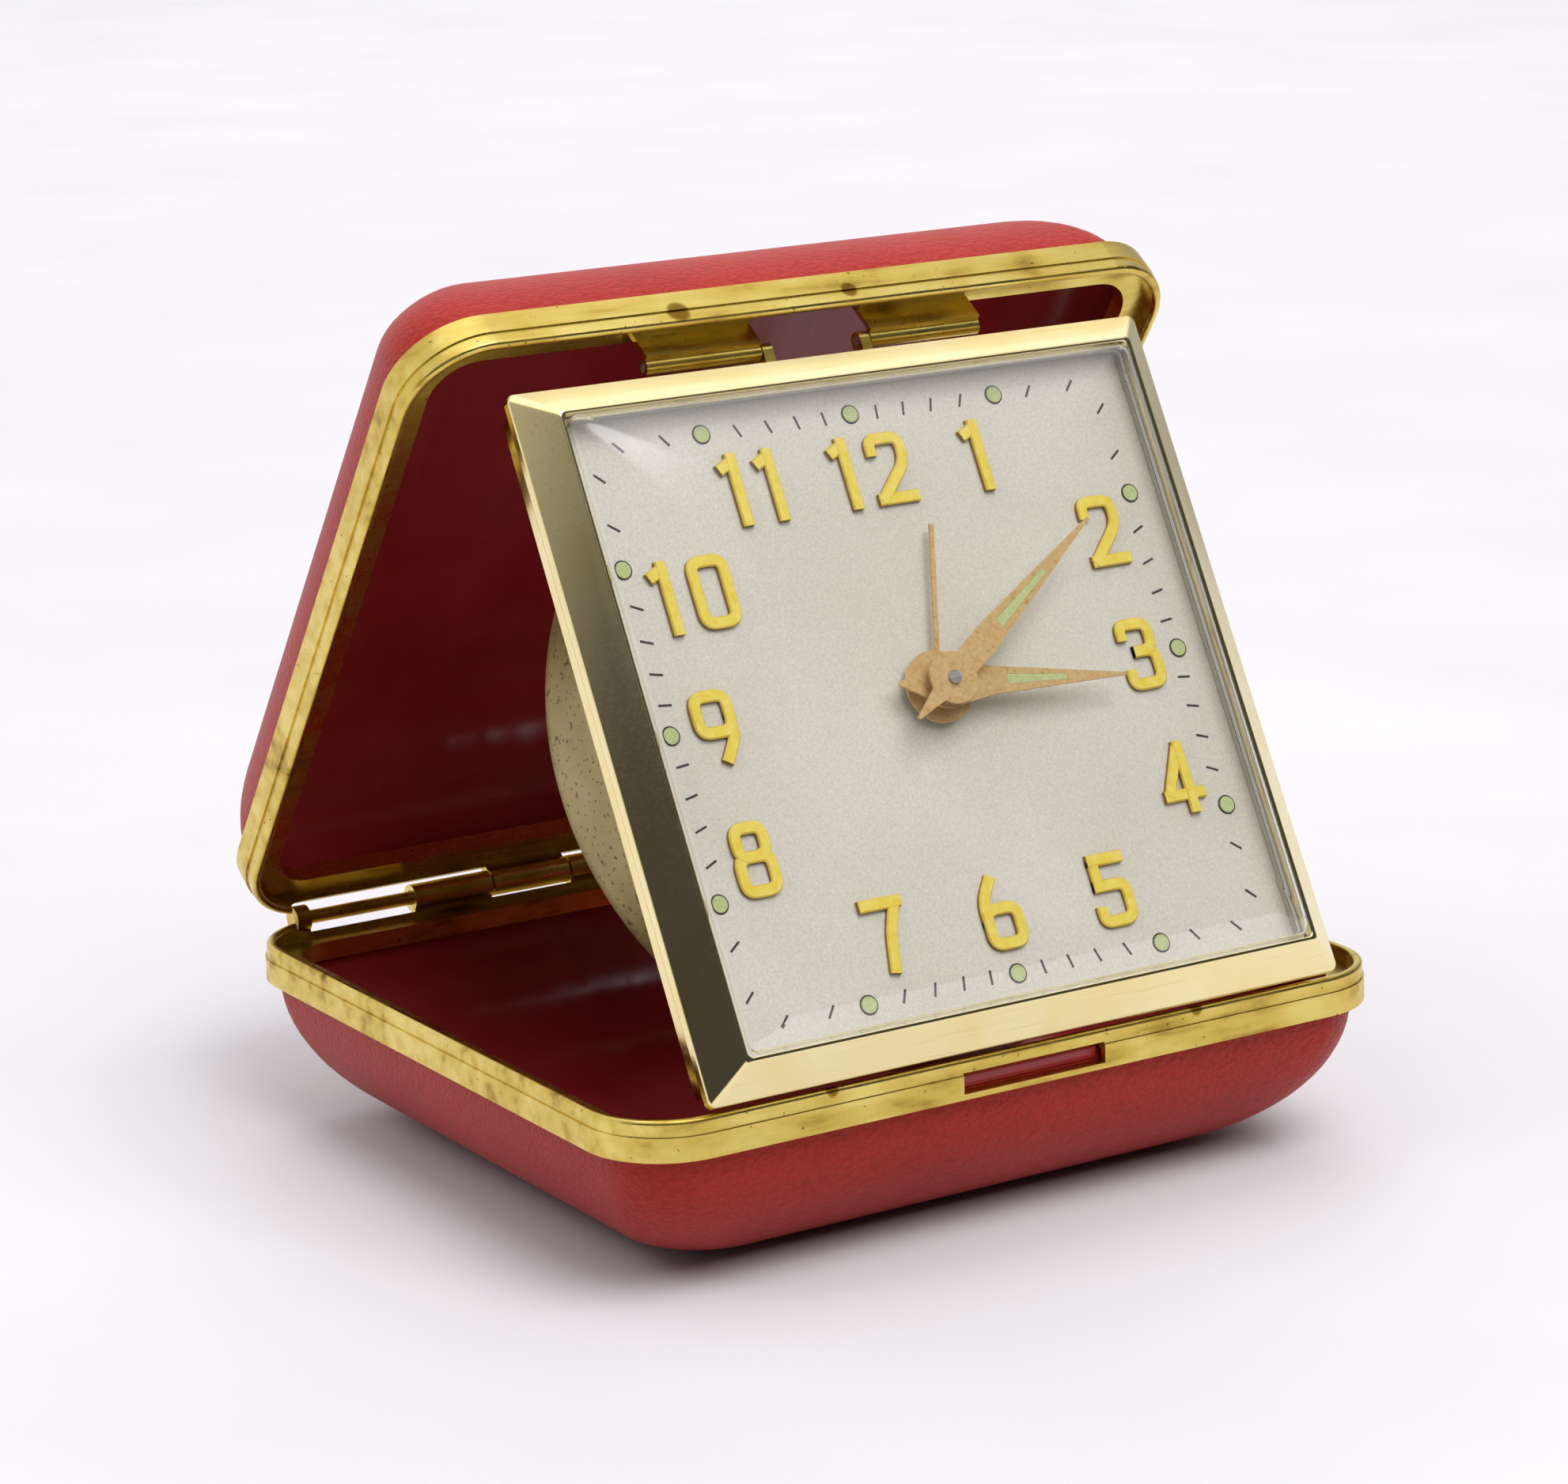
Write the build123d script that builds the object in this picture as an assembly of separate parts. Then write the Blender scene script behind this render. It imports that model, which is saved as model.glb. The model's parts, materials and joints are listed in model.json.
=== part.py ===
from build123d import *
import os
from math import acos, atan2, cos, degrees, hypot, pi, radians, sin

# Folding travel alarm clock: a two-part case, and a square clock hinged on the lid's free edge.
# Millimetres, +Z up, origin in the middle of the case's flat underside, the dial facing -Y.

# Case: a shallow tray, used once as the base and once, turned over, as the lid
CASE_WIDTH = 78.0
CASE_DEPTH = 71.8
CASE_HEIGHT = 16.8
CASE_CORNER = 7.4
BAND_HEIGHT = 3.5
BAND_WALL = 0.6
BEAD_WIDTH = 1.0
BEAD_HEIGHT = 1.4
BEAD_STEP = 0.15
BEAD_ROUND = 0.4
LAND_WIDTH = 3.35
LAND_DROP = 1.5
LAND_SHEET = 0.4
LIP_WALL = 0.45
LIP_DEPTH = 1.3
SHELL_SET_IN = 1.2
SHELL_SPREAD = 14.5
SHELL_FLOOR_CORNER = 6.5
COVER_SHEET = 0.7
PAN_SHEET = 0.4
LINER_SHEET = 0.45
TUCK_GAP = 0.05
RETURN_HEIGHT = 0.5

# Lid's hinge at the back of the case, in the plane where the two rims meet
HINGE_OUTSET = 0.3
HINGE_PIN_RADIUS = 0.65
HINGE_PIN_FIT = 0.04
KNUCKLE_RADIUS = 1.25
KNUCKLE_FROM_SIDE = 18.0
KNUCKLE_SPAN = CASE_WIDTH - 2 * KNUCKLE_FROM_SIDE
KNUCKLE_COUNT = 5
KNUCKLE_GAP = 0.2
HINGE_NOTCH = 1.65
HINGE_NOTCH_FROM_SIDE = 5.5
HINGE_NOTCH_SPAN = CASE_WIDTH - 2 * HINGE_NOTCH_FROM_SIDE
EAR_WIDTH = 1.4
EAR_GAP = 0.3

# Catch: a slot in the base's front band and a window in the lid's land
SLOT_WIDTH = 14.4
SLOT_LOW = 3.0
SLOT_HIGH = 1.2
WINDOW_WIDTH = 11.2

# Hinge between the lid's free edge and the clock
CLOCK_TUBE_RADIUS = 0.75
CLOCK_TUBE_LENGTH = 11.4
CLOCK_PIN_RADIUS = 0.4
CLOCK_PIN_FIT = 0.05
TUBE_FROM_EDGE = 4.1
TUBE_IN_FRONT = 0.92
PLATE_SHEET = 0.5
LUG_WIDTH = 1.0
LUG_GAP = 0.15

# Where the bezel's lower edge rests on the base's front: it props the lid open
REST_AHEAD = 0.3388
REST_ABOVE = 0.753

# Bezel: a square pressed frame whose front slopes up to the crystal
CLOCK_FROM_SIDE = 7.05
CLOCK_FROM_END = 5.2
BEZEL_WIDTH = CASE_WIDTH - 2 * CLOCK_FROM_SIDE
BEZEL_HEIGHT = CASE_DEPTH - 2 * CLOCK_FROM_END
BEZEL_CORNER = 0.7
SLOPE_AT_SIDE = 3.35
SLOPE_AT_END = 3.05
OPENING_WIDTH = BEZEL_WIDTH - 2 * SLOPE_AT_SIDE
OPENING_HEIGHT = BEZEL_HEIGHT - 2 * SLOPE_AT_END
OPENING_LEAST = min(OPENING_WIDTH, OPENING_HEIGHT)
OPENING_CORNER = 0.5
BEZEL_RISE = 2.48
BEZEL_EDGE = 0.35
BEZEL_LIP = 0.9
BEZEL_STEP = 1.0
BEZEL_WALL = 0.5
BEZEL_DEPTH = 3.8
BEZEL_SEAT = 1.5
SEAT_MARGIN = 0.8
PIVOT_ABOVE_BEZEL = 1.7
PIVOT_BEHIND_FACE = 2.6

# Crystal: a clear pillow that stands on the dial's edge
CRYSTAL_FIT = 0.15
CRYSTAL_WALL = 0.8
CRYSTAL_FLANGE = 0.55
CRYSTAL_SIDE = 2.3
CRYSTAL_CROWN = 5.6
CRYSTAL_CORNER = 1.2
CROWN_SIZE_SHARES = (1.0, 0.975, 0.9, 0.72, 0.4)
CROWN_RISE_SHARES = (0.0, 0.28, 0.58, 0.84, 1.0)

# Dial and what is fixed on it
DIAL_FACE = -0.2
DIAL_SHEET = 0.4
DIAL_MARGIN = 0.7
DIAL_BORE = 2.6
NUMERAL_HEIGHT = 6.5
NUMERAL_WIDTH = OPENING_WIDTH * 41 / 572
NUMERAL_STROKE = 0.88
NUMERAL_ROUND = 0.85
NUMERAL_RELIEF = 0.35
NUMERAL_SPACE = 0.3
NUMERAL_CORNER_REACH = OPENING_WIDTH * 57 / 286
TEN_SHIFT = 1.2
DOT_RADIUS = 0.72
DOT_RELIEF = 0.12
DOT_FROM_SIDE = 2.8
DOT_FROM_END = 2.55
DOT_TRACK_WIDTH = OPENING_WIDTH - 2 * DOT_FROM_SIDE
DOT_TRACK_HEIGHT = OPENING_HEIGHT - 2 * DOT_FROM_END
NUMERAL_FROM_SIDE = 7.0
NUMERAL_FROM_END = 7.85
NUMERAL_TRACK_WIDTH = OPENING_WIDTH - 2 * NUMERAL_FROM_SIDE
NUMERAL_TRACK_HEIGHT = OPENING_HEIGHT - 2 * NUMERAL_FROM_END

# Hands
HAND_SHEET = 0.25
MINUTE_FROM_EDGE = 6.05
MINUTE_HAND_LENGTH = OPENING_LEAST / 2 - MINUTE_FROM_EDGE
MINUTE_TAIL = 5.4
MINUTE_LEVEL = 3.3
MINUTE_ANGLE = 56.6
HOUR_FROM_EDGE = 9.55
HOUR_HAND_LENGTH = OPENING_LEAST / 2 - HOUR_FROM_EDGE
HOUR_TAIL = 4.6
HOUR_LEVEL = 2.0
HOUR_ANGLE = 96.2
HAND_WIDTH = 2.5
HAND_HUB = 2.3
HAND_TIP = 0.12
LUME_WIDTH = 0.95
LUME_FIT = 0.02
ALARM_FROM_EDGE = 12.95
ALARM_HAND_LENGTH = OPENING_LEAST / 2 - ALARM_FROM_EDGE
ALARM_HAND_WIDTH = 0.42
ALARM_HUB = 3.2
ALARM_LEVEL = 0.7
ALARM_ANGLE = 15.9

# Round can behind the bezel, its back sunk so that the keys stay inside it
CAN_FROM_EDGE = 0.7
CAN_NECK_STEP = 1.2
CAN_RADIUS = min(BEZEL_WIDTH, BEZEL_HEIGHT) / 2 - CAN_FROM_EDGE
CAN_NECK_RADIUS = CAN_RADIUS - CAN_NECK_STEP
CAN_DEPTH = 15.8
CAN_EDGE = 3.2
CAN_SHEET = 0.5
CAN_BACK_MARGIN = 5.5
CAN_BACK_RADIUS = CAN_RADIUS - CAN_BACK_MARGIN
CAN_BACK_SINK = 3.3
CAN_FLANGE = 0.6
CAN_HOLE_FIT = 0.3
PLATE_MARGIN = 6.0
PLATE_RADIUS = CAN_RADIUS - PLATE_MARGIN
CAN_SCREW_RADIUS = PLATE_RADIUS * 11 / 240
CAN_SCREW_HEAD = 0.7
CAN_SCREW_CIRCLE = PLATE_RADIUS * 43 / 48
CAN_SCREW_SHANK = 0.5
CAN_SCREW_BEARINGS = (75.0, 165.0, 285.0)

# Movement between two round plates: its wheels and their places grow with the plates
SUPPORT_SHEET = 1.8
SUPPORT_BORE = PLATE_RADIUS * 11 / 12
MOVEMENT_PLATE = 0.8
PLATE_DISTANCE = 7.4
PILLAR_RADIUS = PLATE_RADIUS / 20
PILLAR_CIRCLE = PLATE_RADIUS * 11 / 12
PILLAR_SCREW_RADIUS = PLATE_RADIUS * 3 / 80
PILLAR_SCREW_HEAD = 0.5
ARBOR_RADIUS = PLATE_RADIUS / 40
PIVOT_FIT = 0.05
TUBE_WALL = 0.45
WHEEL_SHEET = 0.4
MOTION_SHEET = 0.45
MOTION_GAP = 0.15
ALARM_WHEEL_SHEET = 0.25
MOTION_MODULE = PLATE_RADIUS / 96
ALARM_MODULE = PLATE_RADIUS / 120
CANNON_TEETH = 12
MINUTE_WHEEL_TEETH = 36
MINUTE_PINION_TEETH = 12
HOUR_WHEEL_TEETH = 48
ALARM_WHEEL_TEETH = 60
ALARM_PINION_TEETH = 30
TRAIN_MODULE = PLATE_RADIUS / 96
CENTRE_TEETH = 64
TRAIN_WHEEL_TEETH = 60
TRAIN_PINION_TEETH = 8
ESCAPE_TEETH = 15
ESCAPE_RADIUS = PLATE_RADIUS / 6
TRAIN_STEP = 1.2
MINUTE_WHEEL_BEARING = 60.0
THIRD_BEARING = 150.0
FOURTH_BEARING = -120.0
ESCAPE_BEARING = -60.0
ALARM_SET_BEARING = -90.0
BALANCE_PLACE = (PLATE_RADIUS / 4, -PLATE_RADIUS * 7 / 12)
BALANCE_RADIUS = PLATE_RADIUS / 4
BALANCE_RIM = 0.9
PALLET_PLACE = (-PLATE_RADIUS / 24, -PLATE_RADIUS * 7 / 12)
PALLET_REACH = PLATE_RADIUS * 13 / 120
PALLET_WIDTH = 0.8
HAMMER_PLACE = (-PLATE_RADIUS * 19 / 24, PLATE_RADIUS / 6)
HAMMER_REACH = PLATE_RADIUS * 5 / 24
HAMMER_HEAD = PLATE_RADIUS * 7 / 120
TIME_SPRING_PLACE = (PLATE_RADIUS * 23 / 48, PLATE_RADIUS * 11 / 24)
ALARM_SPRING_PLACE = (PLATE_RADIUS * 7 / 12, -PLATE_RADIUS / 6)
TIME_SPRING_RADIUS = PLATE_RADIUS * 7 / 24
ALARM_SPRING_RADIUS = PLATE_RADIUS / 4
SPRING_HEIGHT = 4.0
SPRING_RIBBON = 0.2
SPRING_TURNS = 6
HAIRSPRING_RADIUS = PLATE_RADIUS / 8
HAIRSPRING_RIBBON = 0.12
HAIRSPRING_HEIGHT = 0.4
HAIRSPRING_TURNS = 5

# Keys, knobs and levers in the sunk back
KEY_GAP = 0.4
KEY_SPAN = PLATE_RADIUS / 2
KEY_THICK = 1.2
KEY_HUB = PLATE_RADIUS * 19 / 240
KEY_HEIGHT = 2.6
KNOB_RADIUS = PLATE_RADIUS * 2 / 15
KNOB_HEIGHT = 2.2
KNOB_FLUTES = 18
KNOB_FLUTE_DEPTH = 0.25
BUTTON_PLACE = (-PLATE_RADIUS / 2, PLATE_RADIUS / 2)
BUTTON_RADIUS = PLATE_RADIUS / 12
BUTTON_TRAVEL = 1.5
BUTTON_STEM = PLATE_RADIUS / 30
BUTTON_HEIGHT = 2.0
REGULATOR_PLACE = (PLATE_RADIUS * 5 / 24, -PLATE_RADIUS * 35 / 48)
REGULATOR_LENGTH = PLATE_RADIUS / 6
REGULATOR_WIDTH = PLATE_RADIUS / 24
REGULATOR_SHEET = 0.5

OVERRUN = 1.0
HALF_TURN = 180.0
RIGHT_ANGLE = 90.0

UP = (Align.CENTER, Align.CENTER, Align.MIN)
os.makedirs("parts", exist_ok=True)


# Places of the three frames
HINGE_Y = CASE_DEPTH / 2 + HINGE_OUTSET
LID_REACH = HINGE_Y + CASE_DEPTH / 2
TUBE_U = LID_REACH - TUBE_FROM_EDGE
PIVOT_V = BEZEL_HEIGHT / 2 + PIVOT_ABOVE_BEZEL
PIVOT_N = -PIVOT_BEHIND_FACE

# The lid, the clock and the base make a triangle: hinge, pivot and the place where the bezel rests
REST_Y = -CASE_DEPTH / 2 - REST_AHEAD
LID_SIDE = hypot(TUBE_U, TUBE_IN_FRONT)
CLOCK_SIDE = hypot(PIVOT_V + BEZEL_HEIGHT / 2, PIVOT_N)
BASE_SIDE = hypot(HINGE_Y - REST_Y, REST_ABOVE)
CORNER = acos((LID_SIDE**2 + BASE_SIDE**2 - CLOCK_SIDE**2) / (2 * LID_SIDE * BASE_SIDE))
OPEN = CORNER + atan2(REST_ABOVE, HINGE_Y - REST_Y) + atan2(TUBE_IN_FRONT, TUBE_U)
LID_OPEN = degrees(OPEN)
PIVOT_Y = HINGE_Y - TUBE_U * cos(OPEN) - TUBE_IN_FRONT * sin(OPEN)
PIVOT_Z = CASE_HEIGHT + TUBE_U * sin(OPEN) - TUBE_IN_FRONT * cos(OPEN)
LEAN = atan2(PIVOT_Y - REST_Y, PIVOT_Z - CASE_HEIGHT - REST_ABOVE)
LEAN -= atan2(-PIVOT_N, PIVOT_V + BEZEL_HEIGHT / 2)
CLOCK_LEAN = degrees(LEAN)
CLOCK_Y = PIVOT_Y - PIVOT_V * sin(LEAN) + PIVOT_N * cos(LEAN)
CLOCK_Z = PIVOT_Z - PIVOT_V * cos(LEAN) - PIVOT_N * sin(LEAN)
FOLD = RIGHT_ANGLE + CLOCK_LEAN - LID_OPEN

base_place = Pos(0, 0, CASE_HEIGHT)
lid_place = Pos(0, HINGE_Y, CASE_HEIGHT) * Rot(X=-LID_OPEN) * Pos(0, -HINGE_Y, 0) * Rot(Y=HALF_TURN)
clock_place = Pos(0, CLOCK_Y, CLOCK_Z) * Rot(X=RIGHT_ANGLE - CLOCK_LEAN)


def write(name, place, *solids):
    """Write one node, moved from its own frame to the part's frame."""
    shape = solids[0] if len(solids) == 1 else Compound(children=list(solids))
    export_step(place * shape, f"parts/{name}.step")


def slab(sketch, low, high):
    """Straight block on a sketch, from one height to another."""
    return extrude(Pos(0, 0, low) * sketch, amount=high - low)


def post(radius, low, high, spot=(0, 0)):
    """Round post between two heights."""
    return Pos(spot[0], spot[1], low) * Cylinder(radius, high - low, align=UP)


def block(low, high):
    """Box between two corners."""
    size = [b - a for a, b in zip(low, high)]
    return Pos(*low) * Box(*size, align=(Align.MIN, Align.MIN, Align.MIN))


def polar(radius, bearing):
    """Point at a distance and a bearing from the centre."""
    return (radius * cos(radians(bearing)), radius * sin(radians(bearing)))


def along_x(radius, start, end, y, z):
    """Round bar along X."""
    return Pos(start, y, z) * Rot(Y=RIGHT_ANGLE) * Cylinder(radius, end - start, align=UP)


# The tray, in its own frame: rim plane at z = 0, floor below, hinge at the back
def plan(inset):
    """Outline of the case, moved inwards."""
    return RectangleRounded(CASE_WIDTH - 2 * inset, CASE_DEPTH - 2 * inset, CASE_CORNER - inset)


def ring(outer, inner, low, high):
    """Wall that follows the case's outline between two insets."""
    return slab(plan(outer), low, high) - slab(plan(inner), low - OVERRUN, high + OVERRUN)


SHELL_TOP = LAND_DROP + LAND_SHEET + TUCK_GAP
BOWL_STEPS = 6


def bowl_section(offset, step):
    """Rounded rectangle of the bowl-shaped shell at one step from the wall to the floor."""
    turn = pi / 2 * step / BOWL_STEPS
    inset = SHELL_SET_IN + offset + (SHELL_SPREAD - offset) * (1 - cos(turn))
    depth = BAND_HEIGHT + (CASE_HEIGHT - BAND_HEIGHT - offset) * sin(turn)
    top_corner = CASE_CORNER - SHELL_SET_IN
    corner = top_corner + (SHELL_FLOOR_CORNER - top_corner) * step / BOWL_STEPS - offset
    return Pos(0, 0, -depth) * RectangleRounded(CASE_WIDTH - 2 * inset, CASE_DEPTH - 2 * inset, corner)


def bowl(offset):
    """Solid bowl whose side is the shell's outer side, moved inwards."""
    rounded = loft([bowl_section(offset, step) for step in range(BOWL_STEPS + 1)])
    return rounded + slab(plan(SHELL_SET_IN + offset), -BAND_HEIGHT, -SHELL_TOP)


BOWLS = [bowl(t) for t in (0, COVER_SHEET, COVER_SHEET + PAN_SHEET, COVER_SHEET + PAN_SHEET + LINER_SHEET)]
cover, pan, liner = [outer - inner for outer, inner in zip(BOWLS, BOWLS[1:])]


def hinge_notch():
    """Room at the back of a rim for the hinge's barrel."""
    half = HINGE_NOTCH_SPAN / 2
    return along_x(HINGE_NOTCH, -half, half, HINGE_Y, 0)


def plain_rim():
    """Pressed brass rim: band, bead, sunk land and inner lip."""
    land = -LAND_DROP
    band = ring(0, BAND_WALL, -BAND_HEIGHT, -BEAD_HEIGHT)
    turned_in = ring(0, SHELL_SET_IN - TUCK_GAP, -BAND_HEIGHT, RETURN_HEIGHT - BAND_HEIGHT)
    bead = ring(BEAD_STEP, BEAD_WIDTH, land - LAND_SHEET, 0)
    bead = fillet(bead.edges().group_by(Axis.Z)[-1], BEAD_ROUND)
    shelf = ring(0, LAND_WIDTH, land - LAND_SHEET, land)
    lip_top = land - LAND_SHEET
    lip = ring(LAND_WIDTH - LIP_WALL, LAND_WIDTH, lip_top - LIP_DEPTH, lip_top)
    return band + turned_in + bead + shelf + lip - hinge_notch()


def knuckles(first):
    """Every second barrel of the hinge, with the leaf that joins it to its rim."""
    pitch = KNUCKLE_SPAN / KNUCKLE_COUNT
    found = None
    for index in range(first, KNUCKLE_COUNT, 2):
        start = index * pitch - KNUCKLE_SPAN / 2 + KNUCKLE_GAP / 2
        end = start + pitch - KNUCKLE_GAP
        barrel = along_x(KNUCKLE_RADIUS, start, end, HINGE_Y, 0)
        leaf_y = CASE_DEPTH / 2 - BAND_WALL
        leaf = block((start, leaf_y, -BAND_HEIGHT), (end, HINGE_Y, 0))
        found = barrel + leaf if found is None else found + barrel + leaf
    return found


pin_bore = along_x(HINGE_PIN_RADIUS + HINGE_PIN_FIT, -CASE_WIDTH, CASE_WIDTH, HINGE_Y, 0)


def hinge_ears():
    """Two ears that carry the ends of the hinge pin."""
    found = []
    outer = HINGE_NOTCH_SPAN / 2 - EAR_GAP
    for side in (-1, 1):
        near = min(side * outer, side * (outer - EAR_WIDTH))
        foot = block((near, CASE_DEPTH / 2 - BAND_WALL, -BAND_HEIGHT), (near + EAR_WIDTH, HINGE_Y, 0))
        found.append(foot + along_x(KNUCKLE_RADIUS, near, near + EAR_WIDTH, HINGE_Y, 0))
    return found[0] + found[1]


# Base: rim with the catch slot, hinge barrels at the ends and in the middle
front = -CASE_DEPTH / 2
slot_half = SLOT_WIDTH / 2
slot = block((-slot_half, front - OVERRUN, -SLOT_LOW), (slot_half, front + BEAD_WIDTH, -SLOT_HIGH))
slot += block((-slot_half, front + BEAD_WIDTH, -SLOT_LOW), (slot_half, front + LAND_WIDTH, 0))
base_rim = plain_rim() - slot + knuckles(0) + hinge_ears() - pin_bore
ear_outer = HINGE_NOTCH_SPAN / 2 - EAR_GAP
hinge_pin = along_x(HINGE_PIN_RADIUS, -ear_outer, ear_outer, HINGE_Y, 0)

write("base_cover", base_place, cover)
write("base_pan", base_place, pan)
write("base_liner", base_place, liner)
write("base_rim", base_place, base_rim)
write("case_hinge_pin", base_place, hinge_pin)


# Lid: the same tray turned over, with two plates on its free edge that end in rolled tubes
tube_y = HINGE_Y - TUBE_U
tube_z = TUBE_IN_FRONT
window_half = WINDOW_WIDTH / 2
window = block((-window_half, front + BEAD_WIDTH, -LAND_DROP - LAND_SHEET - LIP_DEPTH - OVERRUN),
               (window_half, front + LAND_WIDTH + OVERRUN, 0))
lid_rim = plain_rim() - window + knuckles(1) - pin_bore
for side in (-1, 1):
    near = min(side * window_half, side * (window_half + CLOCK_TUBE_LENGTH))
    far = near + CLOCK_TUBE_LENGTH
    tube = along_x(CLOCK_TUBE_RADIUS, near, far, tube_y, tube_z)
    plate = block((near, front + LAND_WIDTH - PLATE_SHEET, -LAND_DROP - LAND_SHEET),
                  (far, front + LAND_WIDTH, tube_z))
    arm = block((near, front + LAND_WIDTH - PLATE_SHEET, tube_z - PLATE_SHEET), (far, tube_y, tube_z))
    bore = along_x(CLOCK_PIN_RADIUS + CLOCK_PIN_FIT, near - OVERRUN, far + OVERRUN, tube_y, tube_z)
    lid_rim = lid_rim + plate + arm + tube - bore

write("lid_cover", lid_place, cover)
write("lid_pan", lid_place, pan)
write("lid_liner", lid_place, liner)
write("lid_rim", lid_place, lid_rim)


# Clock, in its own frame: dial centre at the origin, x to the right, y up the dial, z out of it
def frame_at(width, height, corner, level):
    """Rounded rectangle at a level of the clock."""
    return Pos(0, 0, level) * RectangleRounded(width, height, corner)


def bezel_solid():
    """Pressed bezel with a sloping front, a lip and a stepped-in side wall."""
    edge = 2 * BEZEL_EDGE
    step = 2 * BEZEL_STEP
    wall = step + 2 * BEZEL_WALL
    seat = 2 * SEAT_MARGIN
    slope_top = frame_at(OPENING_WIDTH + edge, OPENING_HEIGHT + edge, OPENING_CORNER, BEZEL_RISE)
    solid = loft([frame_at(BEZEL_WIDTH, BEZEL_HEIGHT, BEZEL_CORNER, 0), slope_top])
    solid += slab(RectangleRounded(BEZEL_WIDTH, BEZEL_HEIGHT, BEZEL_CORNER), -BEZEL_LIP, 0)
    solid += slab(RectangleRounded(BEZEL_WIDTH - step, BEZEL_HEIGHT - step, BEZEL_CORNER),
                  -BEZEL_DEPTH, -BEZEL_LIP)
    inside = (BEZEL_WIDTH - wall, BEZEL_HEIGHT - wall, BEZEL_CORNER)
    cavity = slab(RectangleRounded(*inside), -BEZEL_DEPTH - OVERRUN, -BEZEL_WALL)
    seat_top = frame_at(OPENING_WIDTH + seat, OPENING_HEIGHT + seat, BEZEL_CORNER, BEZEL_SEAT)
    cavity += loft([frame_at(*inside, -BEZEL_WALL), seat_top])
    mouth = slab(RectangleRounded(OPENING_WIDTH, OPENING_HEIGHT, OPENING_CORNER), 0, BEZEL_RISE + OVERRUN)
    return solid - cavity - mouth


def crystal_solid():
    """Clear pillow with straight sides and a flange under the bezel."""
    width = OPENING_WIDTH - 2 * CRYSTAL_FIT
    height = OPENING_HEIGHT - 2 * CRYSTAL_FIT
    flange = 2 * (SEAT_MARGIN - CRYSTAL_FIT)

    def pillow(inset, crown):
        rise = crown - CRYSTAL_SIDE
        sections = []
        for size, lift in zip(CROWN_SIZE_SHARES, CROWN_RISE_SHARES):
            sections.append(frame_at((width - 2 * inset) * size, (height - 2 * inset) * size,
                                     CRYSTAL_CORNER, CRYSTAL_SIDE + rise * lift))
        side = slab(RectangleRounded(width - 2 * inset, height - 2 * inset, CRYSTAL_CORNER),
                    DIAL_FACE, CRYSTAL_SIDE)
        return side + loft(sections, ruled=True)

    skirt = RectangleRounded(OPENING_WIDTH + flange, OPENING_HEIGHT + flange, BEZEL_CORNER)
    solid = pillow(0, CRYSTAL_CROWN) + slab(skirt, BEZEL_SEAT - CRYSTAL_FIT - CRYSTAL_FLANGE,
                                            BEZEL_SEAT - CRYSTAL_FIT)
    return solid - pillow(CRYSTAL_WALL, CRYSTAL_CROWN - CRYSTAL_WALL)


inside_width = BEZEL_WIDTH - 2 * BEZEL_STEP - 2 * BEZEL_WALL - 2 * CRYSTAL_FIT
inside_height = BEZEL_HEIGHT - 2 * BEZEL_STEP - 2 * BEZEL_WALL - 2 * CRYSTAL_FIT
dial_back = DIAL_FACE - DIAL_SHEET
support_back = dial_back - SUPPORT_SHEET
dial_outline = RectangleRounded(inside_width - DIAL_MARGIN, inside_height - DIAL_MARGIN, BEZEL_CORNER)
dial = slab(dial_outline, dial_back, DIAL_FACE) - post(DIAL_BORE, dial_back - OVERRUN, OVERRUN)
support = slab(RectangleRounded(inside_width, inside_height, BEZEL_CORNER), support_back, dial_back)
support -= post(SUPPORT_BORE, support_back - OVERRUN, OVERRUN)

# Numerals: centre lines of each digit, as shares of its width and height. A bend is a path with
# rounded corners, a loop is a closed one, and a bar is a straight stroke with round ends.
DIGIT_STROKE_SHARES = {
    "0": [("loop", (0, 0), (1, 0), (1, 1), (0, 1))],
    "1": [("bar", (0.55, 0), (0.55, 1)), ("bar", (0.55, 1), (0.2, 0.88))],
    "2": [("bend", (0, 0.78), (0, 1), (1, 1), (1, 0.56), (0, 0.02)), ("bar", (0, 0), (1, 0))],
    "3": [("bend", (0, 0.8), (0, 1), (0.94, 1), (0.94, 0.54), (0.4, 0.54)),
          ("bend", (0.4, 0.54), (1, 0.54), (1, 0), (0, 0), (0, 0.2))],
    "4": [("bar", (0.76, 0), (0.76, 1)), ("bar", (0.76, 1), (0, 0.22)), ("bar", (0, 0.22), (1.05, 0.22))],
    "5": [("bar", (0.92, 1), (0.1, 1)), ("bar", (0.1, 1), (0.1, 0.58)),
          ("bend", (0.1, 0.58), (1, 0.58), (1, 0), (0, 0), (0, 0.2))],
    "6": [("loop", (0, 0), (1, 0), (1, 0.56), (0, 0.56)), ("bend", (0, 0.3), (0, 0.7), (0.4, 1))],
    "7": [("bar", (0, 1), (1, 1)), ("bend", (1, 1), (0.62, 0.5), (0.42, 0))],
    "8": [
        ("loop", (0.06, 0.54), (0.94, 0.54), (0.94, 1), (0.06, 1)),
        ("loop", (0, 0), (1, 0), (1, 0.54), (0, 0.54)),
    ],
    "9": [("loop", (0, 0.42), (1, 0.42), (1, 1), (0, 1)), ("bend", (1, 0.7), (1, 0.32), (0.6, 0))],
}


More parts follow.
